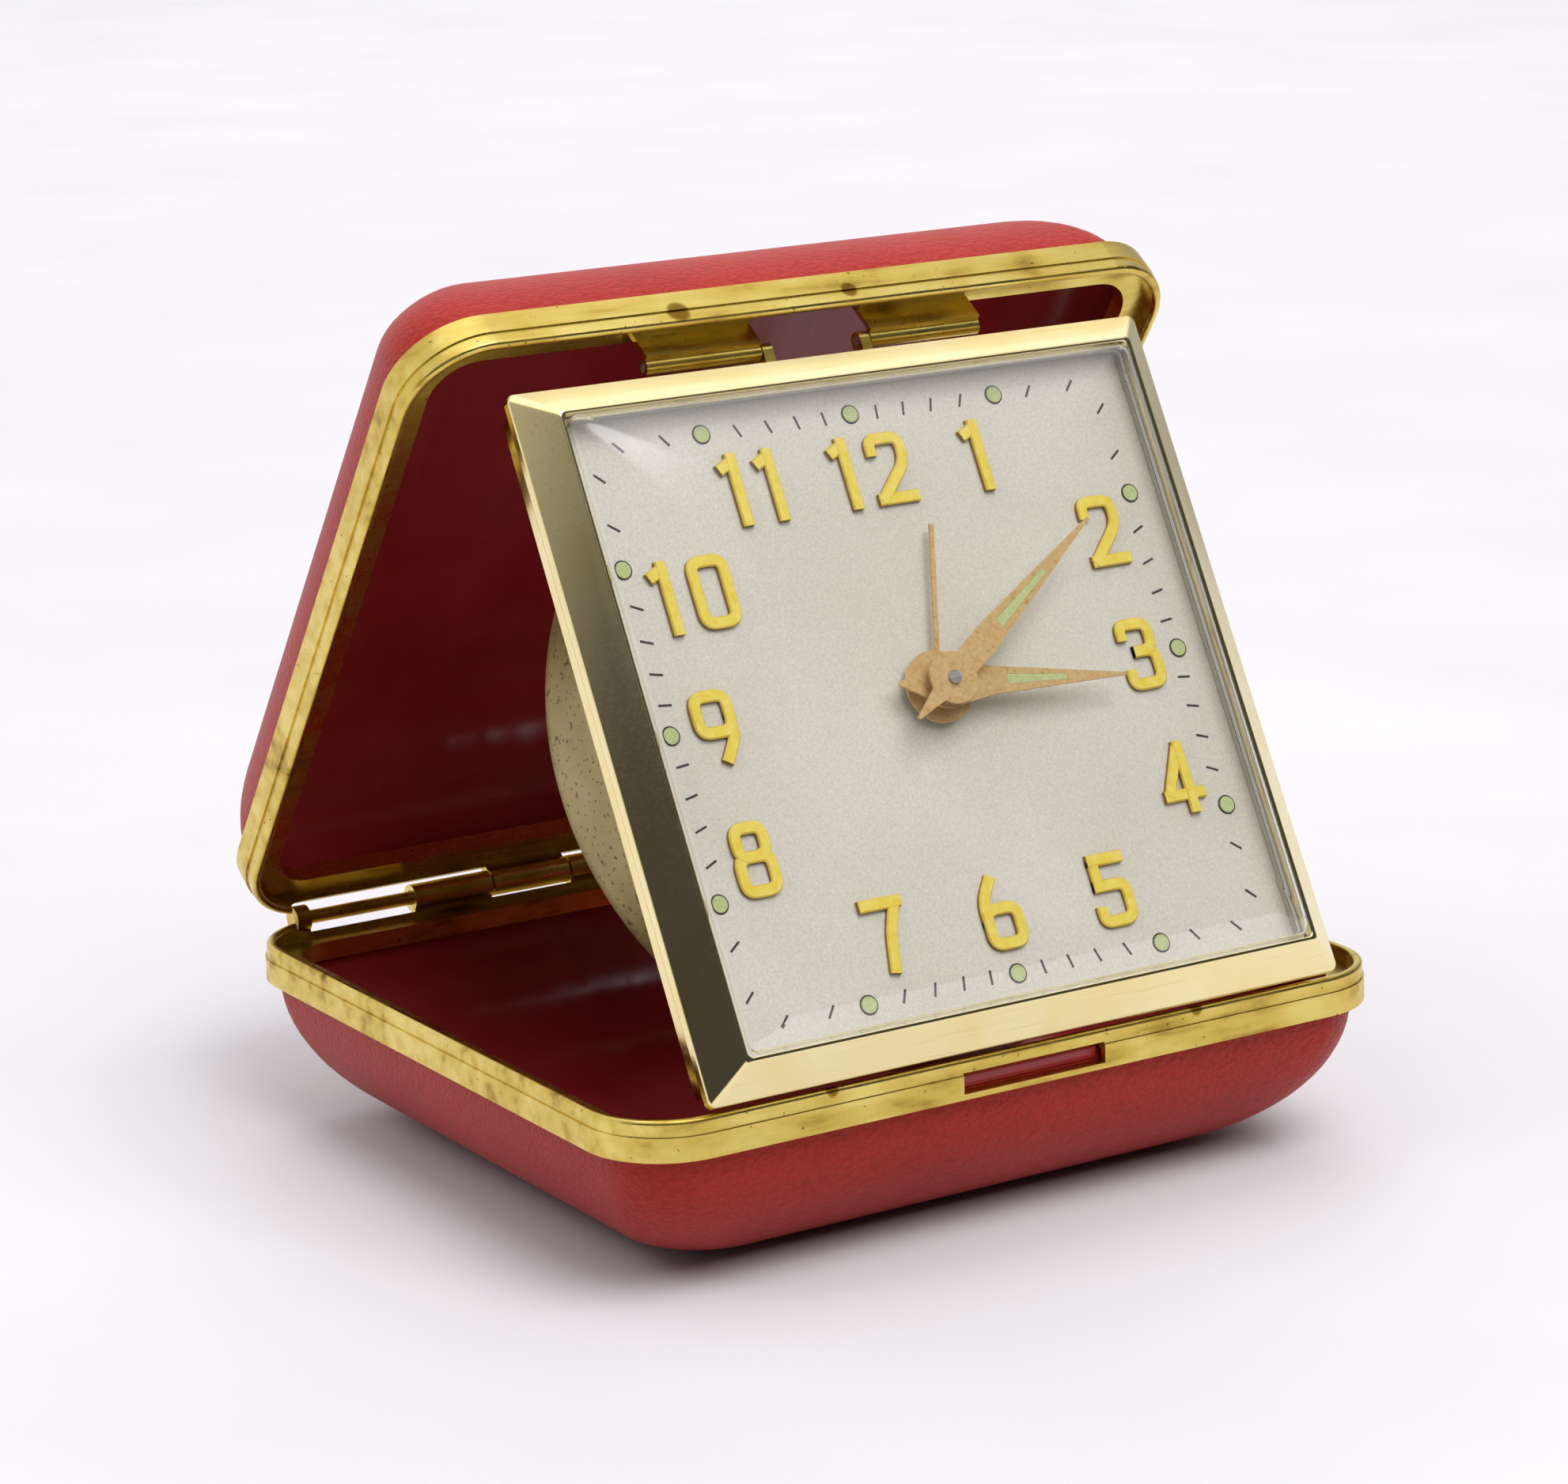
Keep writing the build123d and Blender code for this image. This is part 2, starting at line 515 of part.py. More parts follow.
def digit_solid(digit, spot):
    """One raised digit: its strokes, joined."""
    width = NUMERAL_WIDTH - NUMERAL_STROKE
    height = NUMERAL_HEIGHT - NUMERAL_STROKE
    found = None
    for kind, *shares in DIGIT_STROKE_SHARES[digit]:
        points = [(spot[0] + (x - 1 / 2) * width, spot[1] + (y - 1 / 2) * height) for x, y in shares]
        if kind == "bar":
            stroke = trace(Line(*points), NUMERAL_STROKE)
            stroke += [Pos(*end) * Circle(NUMERAL_STROKE / 2) for end in points]
        else:
            path = FilletPolyline(*points, radius=NUMERAL_ROUND, close=kind == "loop")
            stroke = trace(path, NUMERAL_STROKE)
        found = stroke if found is None else found + stroke
    return slab(found, DIAL_FACE, DIAL_FACE + NUMERAL_RELIEF)


def square_track(hour, width, height):
    """Place of an hour on a square track round the dial."""
    bearing = radians(30 * hour)
    across, upward = sin(bearing), cos(bearing)
    scale = 1 / max(abs(across), abs(upward))
    return (across * scale * width / 2, upward * scale * height / 2)


numerals = []
for hour in range(1, 13):
    x, y = square_track(hour, NUMERAL_TRACK_WIDTH, NUMERAL_TRACK_HEIGHT)
    if DOT_RADIUS < abs(x) < abs(y):
        x *= NUMERAL_CORNER_REACH / abs(x)
    digits = str(hour)
    pitch = NUMERAL_WIDTH + NUMERAL_SPACE - (NUMERAL_WIDTH / 5 if digits == "11" else 0)
    if digits == "10":
        x += TEN_SHIFT
    for index, digit in enumerate(digits):
        shift = (index - (len(digits) - 1) / 2) * pitch
        numerals += digit_solid(digit, (x + shift, y)).solids()
dots = []
for hour in range(1, 13):
    dots.append(post(DOT_RADIUS, DIAL_FACE, DIAL_FACE + DOT_RELIEF,
                     square_track(hour, DOT_TRACK_WIDTH, DOT_TRACK_HEIGHT)))


# Movement levels, counted down from the dial
front_top = support_back
front_low = front_top - MOVEMENT_PLATE
back_top = front_low - PLATE_DISTANCE
back_low = back_top - MOVEMENT_PLATE
can_floor = -CAN_DEPTH + CAN_BACK_SINK
alarm_wheel_top = dial_back - MOTION_GAP
hour_wheel_top = alarm_wheel_top - ALARM_WHEEL_SHEET - MOTION_GAP
minute_wheel_top = hour_wheel_top - MOTION_SHEET - MOTION_GAP

minute_distance = MOTION_MODULE * (CANNON_TEETH + MINUTE_WHEEL_TEETH) / 2
hour_module = 2 * minute_distance / (MINUTE_PINION_TEETH + HOUR_WHEEL_TEETH)
alarm_distance = ALARM_MODULE * (ALARM_WHEEL_TEETH + ALARM_PINION_TEETH) / 2
centre_distance = TRAIN_MODULE * (CENTRE_TEETH + TRAIN_PINION_TEETH) / 2
train_distance = TRAIN_MODULE * (TRAIN_WHEEL_TEETH + TRAIN_PINION_TEETH) / 2
minute_spot = polar(minute_distance, MINUTE_WHEEL_BEARING)
alarm_set_spot = polar(alarm_distance, ALARM_SET_BEARING)
third_spot = polar(centre_distance, THIRD_BEARING)
fourth_step = polar(train_distance, FOURTH_BEARING)
fourth_spot = (third_spot[0] + fourth_step[0], third_spot[1] + fourth_step[1])
escape_step = polar(train_distance, ESCAPE_BEARING)
escape_spot = (fourth_spot[0] + escape_step[0], fourth_spot[1] + escape_step[1])

TOOTH_TIP_SHARE = 0.75
TOOTH_ROOT_SHARE = 1.05
TOOTH_TIP_WIDTH_SHARE = 0.1
TOOTH_PITCH_WIDTH_SHARE = 0.2
TOOTH_ROOT_WIDTH_SHARE = 0.26


def gear(teeth, module, low, high, spot, bearing, gap=False):
    """Toothed wheel with a tooth, or a gap, on the given bearing."""
    pitch_radius = module * teeth / 2
    levels = ((pitch_radius - module * TOOTH_ROOT_SHARE, TOOTH_ROOT_WIDTH_SHARE),
              (pitch_radius, TOOTH_PITCH_WIDTH_SHARE),
              (pitch_radius + module * TOOTH_TIP_SHARE, TOOTH_TIP_WIDTH_SHARE))
    points = []
    for tooth in range(teeth):
        for sign, order in ((-1, levels), (1, levels[::-1])):
            for radius, share in order:
                turn = bearing + 360 / teeth * (tooth + sign * share + (1 / 2 if gap else 0))
                points.append(polar(radius, turn))
    outline = make_face(Polyline(*points, close=True))
    return Pos(spot[0], spot[1], 0) * slab(outline, low, high)


def moved(spot, x, y):
    """Point at an offset from a spot."""
    return (spot[0] + x, spot[1] + y)


def hand_outline(length, tail, tail_width):
    """Lance-shaped hand pointing up, round its hub."""
    half = HAND_WIDTH / 2
    shoulder = length / 4
    lance = make_face(Polyline((-HAND_TIP, length), (HAND_TIP, length), (half, shoulder),
                               (tail_width, 0), (HAND_TIP, -tail), (-HAND_TIP, -tail),
                               (-tail_width, 0), (-half, shoulder), close=True))
    return lance + Circle(HAND_HUB)


def lume_outline(length, fit):
    """Slot for the luminous filling of a hand."""
    half = LUME_WIDTH / 2 - fit
    start = length / 3 + fit
    end = length * 2 / 3 - fit
    return make_face(Polyline((-half, start), (half, start), (half / 2, end), (-half / 2, end), close=True))


# Hands, tubes and the wheels behind the dial
tube_1 = ARBOR_RADIUS + PIVOT_FIT
tube_1_out = tube_1 + TUBE_WALL
tube_2 = tube_1_out + PIVOT_FIT
tube_2_out = tube_2 + TUBE_WALL
knob_low = can_floor - KEY_GAP - KNOB_HEIGHT
arbor_tip = MINUTE_LEVEL + 2 * HAND_SHEET


def hand(length, tail, level, bore, angle, tail_width):
    """A hand with its lume slot and bore."""
    outline = hand_outline(length, tail, tail_width) - lume_outline(length, 0) - Circle(bore)
    return Rot(Z=-angle) * slab(outline, level, level + HAND_SHEET)


def lume(length, level, angle):
    """Luminous filling of a hand's slot."""
    return Rot(Z=-angle) * slab(lume_outline(length, LUME_FIT), level, level + HAND_SHEET)


minute_hand = hand(MINUTE_HAND_LENGTH, MINUTE_TAIL, MINUTE_LEVEL, ARBOR_RADIUS, MINUTE_ANGLE, HAND_HUB / 2)
hour_hand = hand(HOUR_HAND_LENGTH, HOUR_TAIL, HOUR_LEVEL, tube_1_out, HOUR_ANGLE, HAND_HUB)
alarm_pointer = Rectangle(ALARM_HAND_WIDTH, ALARM_HAND_LENGTH, align=(Align.CENTER, Align.MIN))
alarm_outline = alarm_pointer + Circle(ALARM_HUB) - Circle(tube_2_out)
alarm_hand = Rot(Z=-ALARM_ANGLE) * slab(alarm_outline, ALARM_LEVEL, ALARM_LEVEL + HAND_SHEET)

centre_arbor = post(ARBOR_RADIUS, knob_low, arbor_tip)
centre_arbor += gear(CANNON_TEETH, MOTION_MODULE, minute_wheel_top - MOTION_SHEET, minute_wheel_top,
                     (0, 0), MINUTE_WHEEL_BEARING)
minute_wheel = gear(MINUTE_WHEEL_TEETH, MOTION_MODULE, minute_wheel_top - MOTION_SHEET, minute_wheel_top,
                    minute_spot, MINUTE_WHEEL_BEARING + HALF_TURN, gap=True)
minute_wheel += gear(MINUTE_PINION_TEETH, hour_module, minute_wheel_top, hour_wheel_top, minute_spot,
                     MINUTE_WHEEL_BEARING + HALF_TURN)
minute_wheel += post(ARBOR_RADIUS, front_low, minute_wheel_top, minute_spot)
hour_wheel = gear(HOUR_WHEEL_TEETH, hour_module, hour_wheel_top - MOTION_SHEET, hour_wheel_top,
                  (0, 0), MINUTE_WHEEL_BEARING, gap=True)
hour_wheel += post(tube_1_out, hour_wheel_top - MOTION_SHEET, HOUR_LEVEL + HAND_SHEET)
hour_wheel -= post(tube_1, hour_wheel_top - OVERRUN, arbor_tip)
alarm_wheel = gear(ALARM_WHEEL_TEETH, ALARM_MODULE, alarm_wheel_top - ALARM_WHEEL_SHEET, alarm_wheel_top,
                   (0, 0), ALARM_SET_BEARING)
alarm_wheel += post(tube_2_out, alarm_wheel_top - ALARM_WHEEL_SHEET, ALARM_LEVEL + HAND_SHEET)
alarm_wheel -= post(tube_2, alarm_wheel_top - OVERRUN, arbor_tip)
alarm_arbor = post(ARBOR_RADIUS, knob_low, alarm_wheel_top, alarm_set_spot)
alarm_arbor += gear(ALARM_PINION_TEETH, ALARM_MODULE, alarm_wheel_top - ALARM_WHEEL_SHEET, alarm_wheel_top,
                    alarm_set_spot, ALARM_SET_BEARING + HALF_TURN, gap=True)

# Going train between the plates
level_1 = front_low - TRAIN_STEP
level_2 = level_1 - TRAIN_STEP
level_3 = level_2 - TRAIN_STEP
level_4 = level_3 - TRAIN_STEP


def train_arbor(spot):
    """Arbor whose ends turn in the two plates."""
    return post(ARBOR_RADIUS, back_low, front_top, spot)


centre_wheel = gear(CENTRE_TEETH, TRAIN_MODULE, level_1, level_1 + WHEEL_SHEET, (0, 0), THIRD_BEARING)
centre_wheel += post(tube_1_out, level_2, level_1 + WHEEL_SHEET)
centre_wheel -= post(tube_1, level_2 - OVERRUN, level_1 + OVERRUN)
third_wheel = train_arbor(third_spot)
third_wheel += gear(TRAIN_PINION_TEETH, TRAIN_MODULE, level_1 - WHEEL_SHEET, level_1 + 2 * WHEEL_SHEET,
                    third_spot, THIRD_BEARING + HALF_TURN, gap=True)
third_wheel += gear(TRAIN_WHEEL_TEETH, TRAIN_MODULE, level_2, level_2 + WHEEL_SHEET, third_spot,
                    FOURTH_BEARING)
fourth_wheel = train_arbor(fourth_spot)
fourth_wheel += gear(TRAIN_PINION_TEETH, TRAIN_MODULE, level_2 - WHEEL_SHEET, level_2 + 2 * WHEEL_SHEET,
                     fourth_spot, FOURTH_BEARING + HALF_TURN, gap=True)
fourth_wheel += gear(TRAIN_WHEEL_TEETH, TRAIN_MODULE, level_3, level_3 + WHEEL_SHEET, fourth_spot,
                     ESCAPE_BEARING)
escape_module = 2 * ESCAPE_RADIUS / ESCAPE_TEETH
escape_wheel = train_arbor(escape_spot)
escape_wheel += gear(TRAIN_PINION_TEETH, TRAIN_MODULE, level_3 - WHEEL_SHEET, level_3 + 2 * WHEEL_SHEET,
                     escape_spot, ESCAPE_BEARING + HALF_TURN, gap=True)
escape_wheel += gear(ESCAPE_TEETH, escape_module, level_4, level_4 + WHEEL_SHEET, escape_spot, 0)
pallet_lever = train_arbor(PALLET_PLACE)
pallet_lever += slab(Pos(*PALLET_PLACE) * Rectangle(2 * PALLET_REACH, PALLET_WIDTH), level_4,
                     level_4 + WHEEL_SHEET)
balance = train_arbor(BALANCE_PLACE)
balance_rim = Circle(BALANCE_RADIUS) - Circle(BALANCE_RADIUS - BALANCE_RIM)
balance_rim += Rectangle(2 * BALANCE_RADIUS - BALANCE_RIM, BALANCE_RIM)
balance += slab(Pos(*BALANCE_PLACE) * balance_rim, level_3, level_3 + WHEEL_SHEET)
hammer = post(ARBOR_RADIUS, back_low, front_top, HAMMER_PLACE)
hammer += slab(Pos(*HAMMER_PLACE) * Rectangle(PALLET_WIDTH, HAMMER_REACH, align=(Align.CENTER, Align.MIN)),
               level_3, level_3 + WHEEL_SHEET)
hammer += post(HAMMER_HEAD, level_3 - WHEEL_SHEET, level_3 + 2 * WHEEL_SHEET,
               moved(HAMMER_PLACE, 0, HAMMER_REACH))


def spiral(turns, inner, outer, ribbon, height, low, spot):
    """Flat spiral spring, a ribbon wound from its arbor to its outer coil."""
    steps = turns * 24
    sides = []
    for side in (-1, 1):
        edge = []
        for step in range(steps + 1):
            radius = inner + (outer - inner) * step / steps + side * ribbon / 2
            edge.append(polar(radius, 360 * turns * step / steps))
        sides.append(edge)
    outline = make_face(Polyline(*sides[0], *sides[1][::-1], close=True))
    return Pos(spot[0], spot[1], 0) * slab(outline, low, low + height)


spring_low = back_top + TRAIN_STEP
spring_core = ARBOR_RADIUS + 2 * SPRING_RIBBON
time_spring = spiral(SPRING_TURNS, spring_core, TIME_SPRING_RADIUS, SPRING_RIBBON, SPRING_HEIGHT,
                     spring_low, TIME_SPRING_PLACE)
alarm_spring = spiral(SPRING_TURNS, spring_core, ALARM_SPRING_RADIUS, SPRING_RIBBON, SPRING_HEIGHT,
                      spring_low, ALARM_SPRING_PLACE)
hairspring = spiral(HAIRSPRING_TURNS, spring_core, HAIRSPRING_RADIUS, HAIRSPRING_RIBBON, HAIRSPRING_HEIGHT,
                    level_3 - TRAIN_STEP, BALANCE_PLACE)

# Plates, pillars and what the arbors turn in
pillar_spots = [polar(PILLAR_CIRCLE, RIGHT_ANGLE * quarter) for quarter in range(4)]
running_spots = [minute_spot, alarm_set_spot, third_spot, fourth_spot, escape_spot, PALLET_PLACE,
                 BALANCE_PLACE, HAMMER_PLACE, TIME_SPRING_PLACE, ALARM_SPRING_PLACE]


def movement_plate(low, high):
    """Round plate with a running hole for every arbor."""
    plate = post(PLATE_RADIUS, low, high)
    for spot in running_spots:
        plate -= post(ARBOR_RADIUS + PIVOT_FIT, low - OVERRUN, high + OVERRUN, spot)
    return plate - post(tube_1, low - OVERRUN, high + OVERRUN)


front_plate = movement_plate(front_low, front_top)
back_plate = movement_plate(back_low, back_top)
back_plate -= post(BUTTON_STEM + PIVOT_FIT, back_low - OVERRUN, back_top + OVERRUN, BUTTON_PLACE)
pillars = [post(PILLAR_RADIUS, back_top, front_low, spot) for spot in pillar_spots]
pillar_screws = [post(PILLAR_SCREW_RADIUS, back_low - PILLAR_SCREW_HEAD, back_low, spot)
                 for spot in pillar_spots]


# Can, with holes in its sunk back for the arbors
def can_solid():
    """Round can with a square flange inside the bezel and a sunk back."""
    flange = slab(RectangleRounded(inside_width, inside_height, BEZEL_CORNER), support_back - CAN_FLANGE,
                  support_back)
    neck = post(CAN_NECK_RADIUS, -BEZEL_DEPTH - CAN_SHEET, support_back)
    drum = post(CAN_RADIUS, -CAN_DEPTH, -BEZEL_DEPTH)
    drum = fillet(drum.edges().group_by(Axis.Z)[0], CAN_EDGE) + neck
    hollow = post(CAN_RADIUS - CAN_SHEET, -CAN_DEPTH + CAN_SHEET, -BEZEL_DEPTH - CAN_SHEET)
    hollow = fillet(hollow.edges().group_by(Axis.Z)[0], CAN_EDGE - CAN_SHEET)
    hollow += post(CAN_NECK_RADIUS - CAN_SHEET, -BEZEL_DEPTH - 2 * CAN_SHEET, support_back + OVERRUN)
    sink = post(CAN_BACK_RADIUS + CAN_SHEET, -CAN_DEPTH, can_floor + CAN_SHEET)
    hollow -= sink
    solid = flange + drum - hollow - post(CAN_BACK_RADIUS, -CAN_DEPTH - OVERRUN, can_floor)
    holes = [(0, 0), alarm_set_spot, TIME_SPRING_PLACE, ALARM_SPRING_PLACE]
    for spot in holes:
        solid -= post(ARBOR_RADIUS + CAN_HOLE_FIT, can_floor - OVERRUN, can_floor + 2 * CAN_SHEET, spot)
    solid -= post(BUTTON_STEM + CAN_HOLE_FIT, can_floor - OVERRUN, can_floor + 2 * CAN_SHEET, BUTTON_PLACE)
    for spot in can_screw_spots:
        solid -= post(CAN_SCREW_SHANK, can_floor - OVERRUN, can_floor + 2 * CAN_SHEET, spot)
    return solid


can_screw_spots = [polar(CAN_SCREW_CIRCLE, bearing) for bearing in CAN_SCREW_BEARINGS]
can_screws = []
for spot in can_screw_spots:
    screw = post(CAN_SCREW_RADIUS, can_floor - CAN_SCREW_HEAD, can_floor, spot)
    slit = Box(2 * CAN_SCREW_RADIUS, CAN_SCREW_SHANK / 2, CAN_SCREW_HEAD)
    screw -= Pos(spot[0], spot[1], can_floor - CAN_SCREW_HEAD) * slit
    can_screws.append(screw + post(CAN_SCREW_SHANK, can_floor, back_low, spot))


# Keys, knobs, stop button and regulator
def key(spot):
    """Butterfly winding key: a hub with two flat wings."""
    top = can_floor - KEY_GAP
    low = top - KEY_HEIGHT
    wings = Rectangle(KEY_SPAN, KEY_THICK)
    solid = post(KEY_HUB, low, top, spot) + slab(Pos(*spot) * wings, low, top)
    return solid - post(ARBOR_RADIUS, low + KEY_THICK, top + OVERRUN, spot)


def winding_arbor(spot):
    """Arbor from the front plate to the key."""
    return post(ARBOR_RADIUS, can_floor - KEY_GAP - KEY_HEIGHT + KEY_THICK, front_top, spot)


def knob(spot):
    """Fluted setting knob."""
    top = can_floor - KEY_GAP
    outline = Circle(KNOB_RADIUS)
    for flute in range(KNOB_FLUTES):
        outline -= Pos(*polar(KNOB_RADIUS, 360 / KNOB_FLUTES * flute)) * Circle(KNOB_FLUTE_DEPTH)
    solid = slab(Pos(*spot) * outline, knob_low, top)
    return solid - post(ARBOR_RADIUS, knob_low - OVERRUN, top + OVERRUN, spot)


button_low = can_floor - BUTTON_TRAVEL - KEY_GAP - BUTTON_HEIGHT / 2
button = post(BUTTON_RADIUS, button_low, button_low + BUTTON_HEIGHT / 2, BUTTON_PLACE)
button += post(BUTTON_STEM, button_low, back_top, BUTTON_PLACE)
regulator_low = can_floor - KEY_GAP - REGULATOR_SHEET
regulator_outline = Rectangle(REGULATOR_WIDTH, REGULATOR_LENGTH, align=(Align.CENTER, Align.MIN))
regulator_outline += Circle(REGULATOR_WIDTH)
regulator = slab(Pos(*REGULATOR_PLACE) * regulator_outline, regulator_low, regulator_low + REGULATOR_SHEET)
regulator += post(REGULATOR_WIDTH / 2, regulator_low, back_low, REGULATOR_PLACE)
can = can_solid() - post(REGULATOR_WIDTH / 2 + PIVOT_FIT, can_floor - OVERRUN, can_floor + 2 * CAN_SHEET,
                         REGULATOR_PLACE)

# Hinge lugs on top of the clock and the two pins that turn in the lid's tubes
lug_outer = window_half - LUG_GAP
lugs = []
pins = []
bezel_top = BEZEL_HEIGHT / 2 - BEZEL_STEP
for side in (-1, 1):
    near = min(side * lug_outer, side * (lug_outer - LUG_WIDTH))
    lug = along_x(CLOCK_TUBE_RADIUS, near, near + LUG_WIDTH, PIVOT_V, PIVOT_N)
    lug += block((near, bezel_top, PIVOT_N - CLOCK_TUBE_RADIUS), (near + LUG_WIDTH, PIVOT_V, PIVOT_N
                                                                  + CLOCK_TUBE_RADIUS))
    start = min(side * (lug_outer - LUG_WIDTH), side * (window_half + CLOCK_TUBE_LENGTH))
    end = start + CLOCK_TUBE_LENGTH + LUG_GAP + LUG_WIDTH
    pin = along_x(CLOCK_PIN_RADIUS, start, end, PIVOT_V, PIVOT_N)
    lugs.append(lug - pin)
    pins.append(pin)

write("bezel", clock_place, bezel_solid())
write("crystal", clock_place, crystal_solid())
write("dial", clock_place, dial)
write("dial_numerals", clock_place, *numerals)
write("hour_dots", clock_place, *dots)
write("dial_support", clock_place, support)
write("back_can", clock_place, can)
write("can_screws", clock_place, *can_screws)
write("hinge_lugs", clock_place, *lugs)
write("clock_hinge_pins", clock_place, *pins)
write("front_plate", clock_place, front_plate)
write("back_plate", clock_place, back_plate)
write("plate_pillars", clock_place, *pillars)
write("pillar_screws", clock_place, *pillar_screws)
write("time_mainspring", clock_place, time_spring)
write("alarm_mainspring", clock_place, alarm_spring)
write("hairspring", clock_place, hairspring)
write("minute_hand", clock_place, minute_hand)
write("minute_lume", clock_place, lume(MINUTE_HAND_LENGTH, MINUTE_LEVEL, MINUTE_ANGLE))
write("centre_arbor", clock_place, centre_arbor)
write("time_set_knob", clock_place, knob((0, 0)))
write("hour_hand", clock_place, hour_hand)
write("hour_lume", clock_place, lume(HOUR_HAND_LENGTH, HOUR_LEVEL, HOUR_ANGLE))
write("hour_wheel", clock_place, hour_wheel)
write("minute_wheel", clock_place, minute_wheel)
write("alarm_hand", clock_place, alarm_hand)
write("alarm_wheel", clock_place, alarm_wheel)
write("alarm_set_arbor", clock_place, alarm_arbor)
write("alarm_set_knob", clock_place, knob(alarm_set_spot))
write("time_key", clock_place, key(TIME_SPRING_PLACE))
write("time_winding_arbor", clock_place, winding_arbor(TIME_SPRING_PLACE))
write("alarm_key", clock_place, key(ALARM_SPRING_PLACE))
write("alarm_winding_arbor", clock_place, winding_arbor(ALARM_SPRING_PLACE))
write("centre_wheel", clock_place, centre_wheel)
write("third_wheel", clock_place, third_wheel)
write("fourth_wheel", clock_place, fourth_wheel)
write("escape_wheel", clock_place, escape_wheel)
write("pallet_lever", clock_place, pallet_lever)
write("balance_wheel", clock_place, balance)
write("alarm_hammer", clock_place, hammer)
write("alarm_stop_button", clock_place, button)
write("regulator_lever", clock_place, regulator)
print("fold", FOLD, "pivot", PIVOT_Y, PIVOT_Z, "clock", CLOCK_Y, CLOCK_Z, "hinge", HINGE_Y)
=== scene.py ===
# %% [markdown]
# # A folding travel alarm clock
# The solids of this clock come from a CAD file and keep their places. This lesson dresses them: it
# gives every solid a finish, and swaps the ones whose surface has to be smoother or finer than a
# CAD mesh for pieces modelled here. We start by loading the solids and keeping their overall box.

# %% Load the solids
import json
from math import cos, pi, radians, sin, sqrt

import bmesh
import bpy
from mathutils import Matrix, Vector


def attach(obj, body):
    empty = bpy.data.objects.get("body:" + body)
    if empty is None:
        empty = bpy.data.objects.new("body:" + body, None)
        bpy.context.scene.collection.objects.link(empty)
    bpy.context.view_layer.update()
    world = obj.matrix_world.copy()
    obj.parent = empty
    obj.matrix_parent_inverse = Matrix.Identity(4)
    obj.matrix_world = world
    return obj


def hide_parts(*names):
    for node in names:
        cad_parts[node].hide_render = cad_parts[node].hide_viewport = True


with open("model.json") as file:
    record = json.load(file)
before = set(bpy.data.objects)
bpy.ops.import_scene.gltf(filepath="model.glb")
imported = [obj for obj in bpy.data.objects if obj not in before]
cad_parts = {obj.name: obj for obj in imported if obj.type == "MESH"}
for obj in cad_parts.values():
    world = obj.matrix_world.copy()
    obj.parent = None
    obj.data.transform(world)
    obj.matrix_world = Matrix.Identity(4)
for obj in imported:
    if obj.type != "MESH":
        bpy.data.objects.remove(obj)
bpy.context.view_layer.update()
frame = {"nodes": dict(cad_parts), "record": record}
nodes = frame["nodes"]
scene = bpy.context.scene

# %% [markdown]
# ## Three frames
# The case's base lies flat, the lid is the same tray turned over and tipped back on its hinge, and
# the clock leans between them. Each piece is easiest to model in millimetres in the frame of the
# tray or the dial, so we write down the three placements once and apply them at the end.

# %% Placements of the base, the lid and the clock
MM = 0.001
CASE_WIDTH, CASE_DEPTH, CASE_HEIGHT = 78.0, 71.8, 16.8
HINGE_Y = 36.2
LID_OPEN = 54.7
CLOCK_LEAN = 28.5
CLOCK_Y, CLOCK_Z = -21.590033, 44.532665  # centre of the dial's plane


def move(x, y, z):
    return Matrix.Translation(Vector((x, y, z)) * MM)


def turn(degrees, axis):
    return Matrix.Rotation(radians(degrees), 4, axis)


base_place = move(0, 0, CASE_HEIGHT)
lid_place = (move(0, HINGE_Y, CASE_HEIGHT) @ turn(-LID_OPEN, "X") @ move(0, -HINGE_Y, 0)
             @ turn(180, "Y"))
clock_place = move(0, CLOCK_Y, CLOCK_Z) @ turn(90 - CLOCK_LEAN, "X")
print("dial centre", [round(x / MM, 2) for x in clock_place.translation], "mm")

# %% [markdown]
# ## Finishes
# Every finish is a node tree. Colours are written as sRGB hex values, because those can be read off
# a screen, and one function turns them into the linear numbers that the shader wants. A second
# function adds a node, sets its properties and fills or links its inputs.

# %% Colour and node helpers
def colour(text):
    parts = [int(text[i:i + 2], 16) / 255 for i in (1, 3, 5)]
    return tuple(p / 12.92 if p <= 0.04045 else ((p + 0.055) / 1.055) ** 2.4 for p in parts) + (1.0,)


def fill(material, made, inputs):
    """Give a node's inputs their values, or link them to another node's output."""
    for name, value in inputs.items():
        socket = made.inputs[name]
        if isinstance(value, bpy.types.NodeSocket):
            material.node_tree.links.new(value, socket)
        else:
            socket.default_value = value


def node(material, kind, inputs=None, stops=(), **settings):
    """Add a node with its settings, its inputs and, on a colour ramp, stops of (position, hex)."""
    made = material.node_tree.nodes.new("ShaderNode" + kind)
    for name, value in settings.items():
        setattr(made, name, value)
    if stops:
        points = made.color_ramp.elements
        while len(points) < len(stops):
            points.new(0.5)
        for point, (position, text) in zip(points, stops):
            point.position = position
            point.color = colour(text)
    fill(material, made, inputs or {})
    return made


def finish(name):
    """A new material, its Principled node and the Object coordinates it paints by."""
    material = bpy.data.materials.new(name)
    material.use_nodes = True
    shader = material.node_tree.nodes["Principled BSDF"]
    place = node(material, "TexCoord").outputs["Object"]
    return material, shader, place


def per_mm(size):
    """Texture scale that gives features of this size in millimetres."""
    return 1 / (size * MM)


print("red reads", [round(x, 3) for x in colour("#9B2119")])
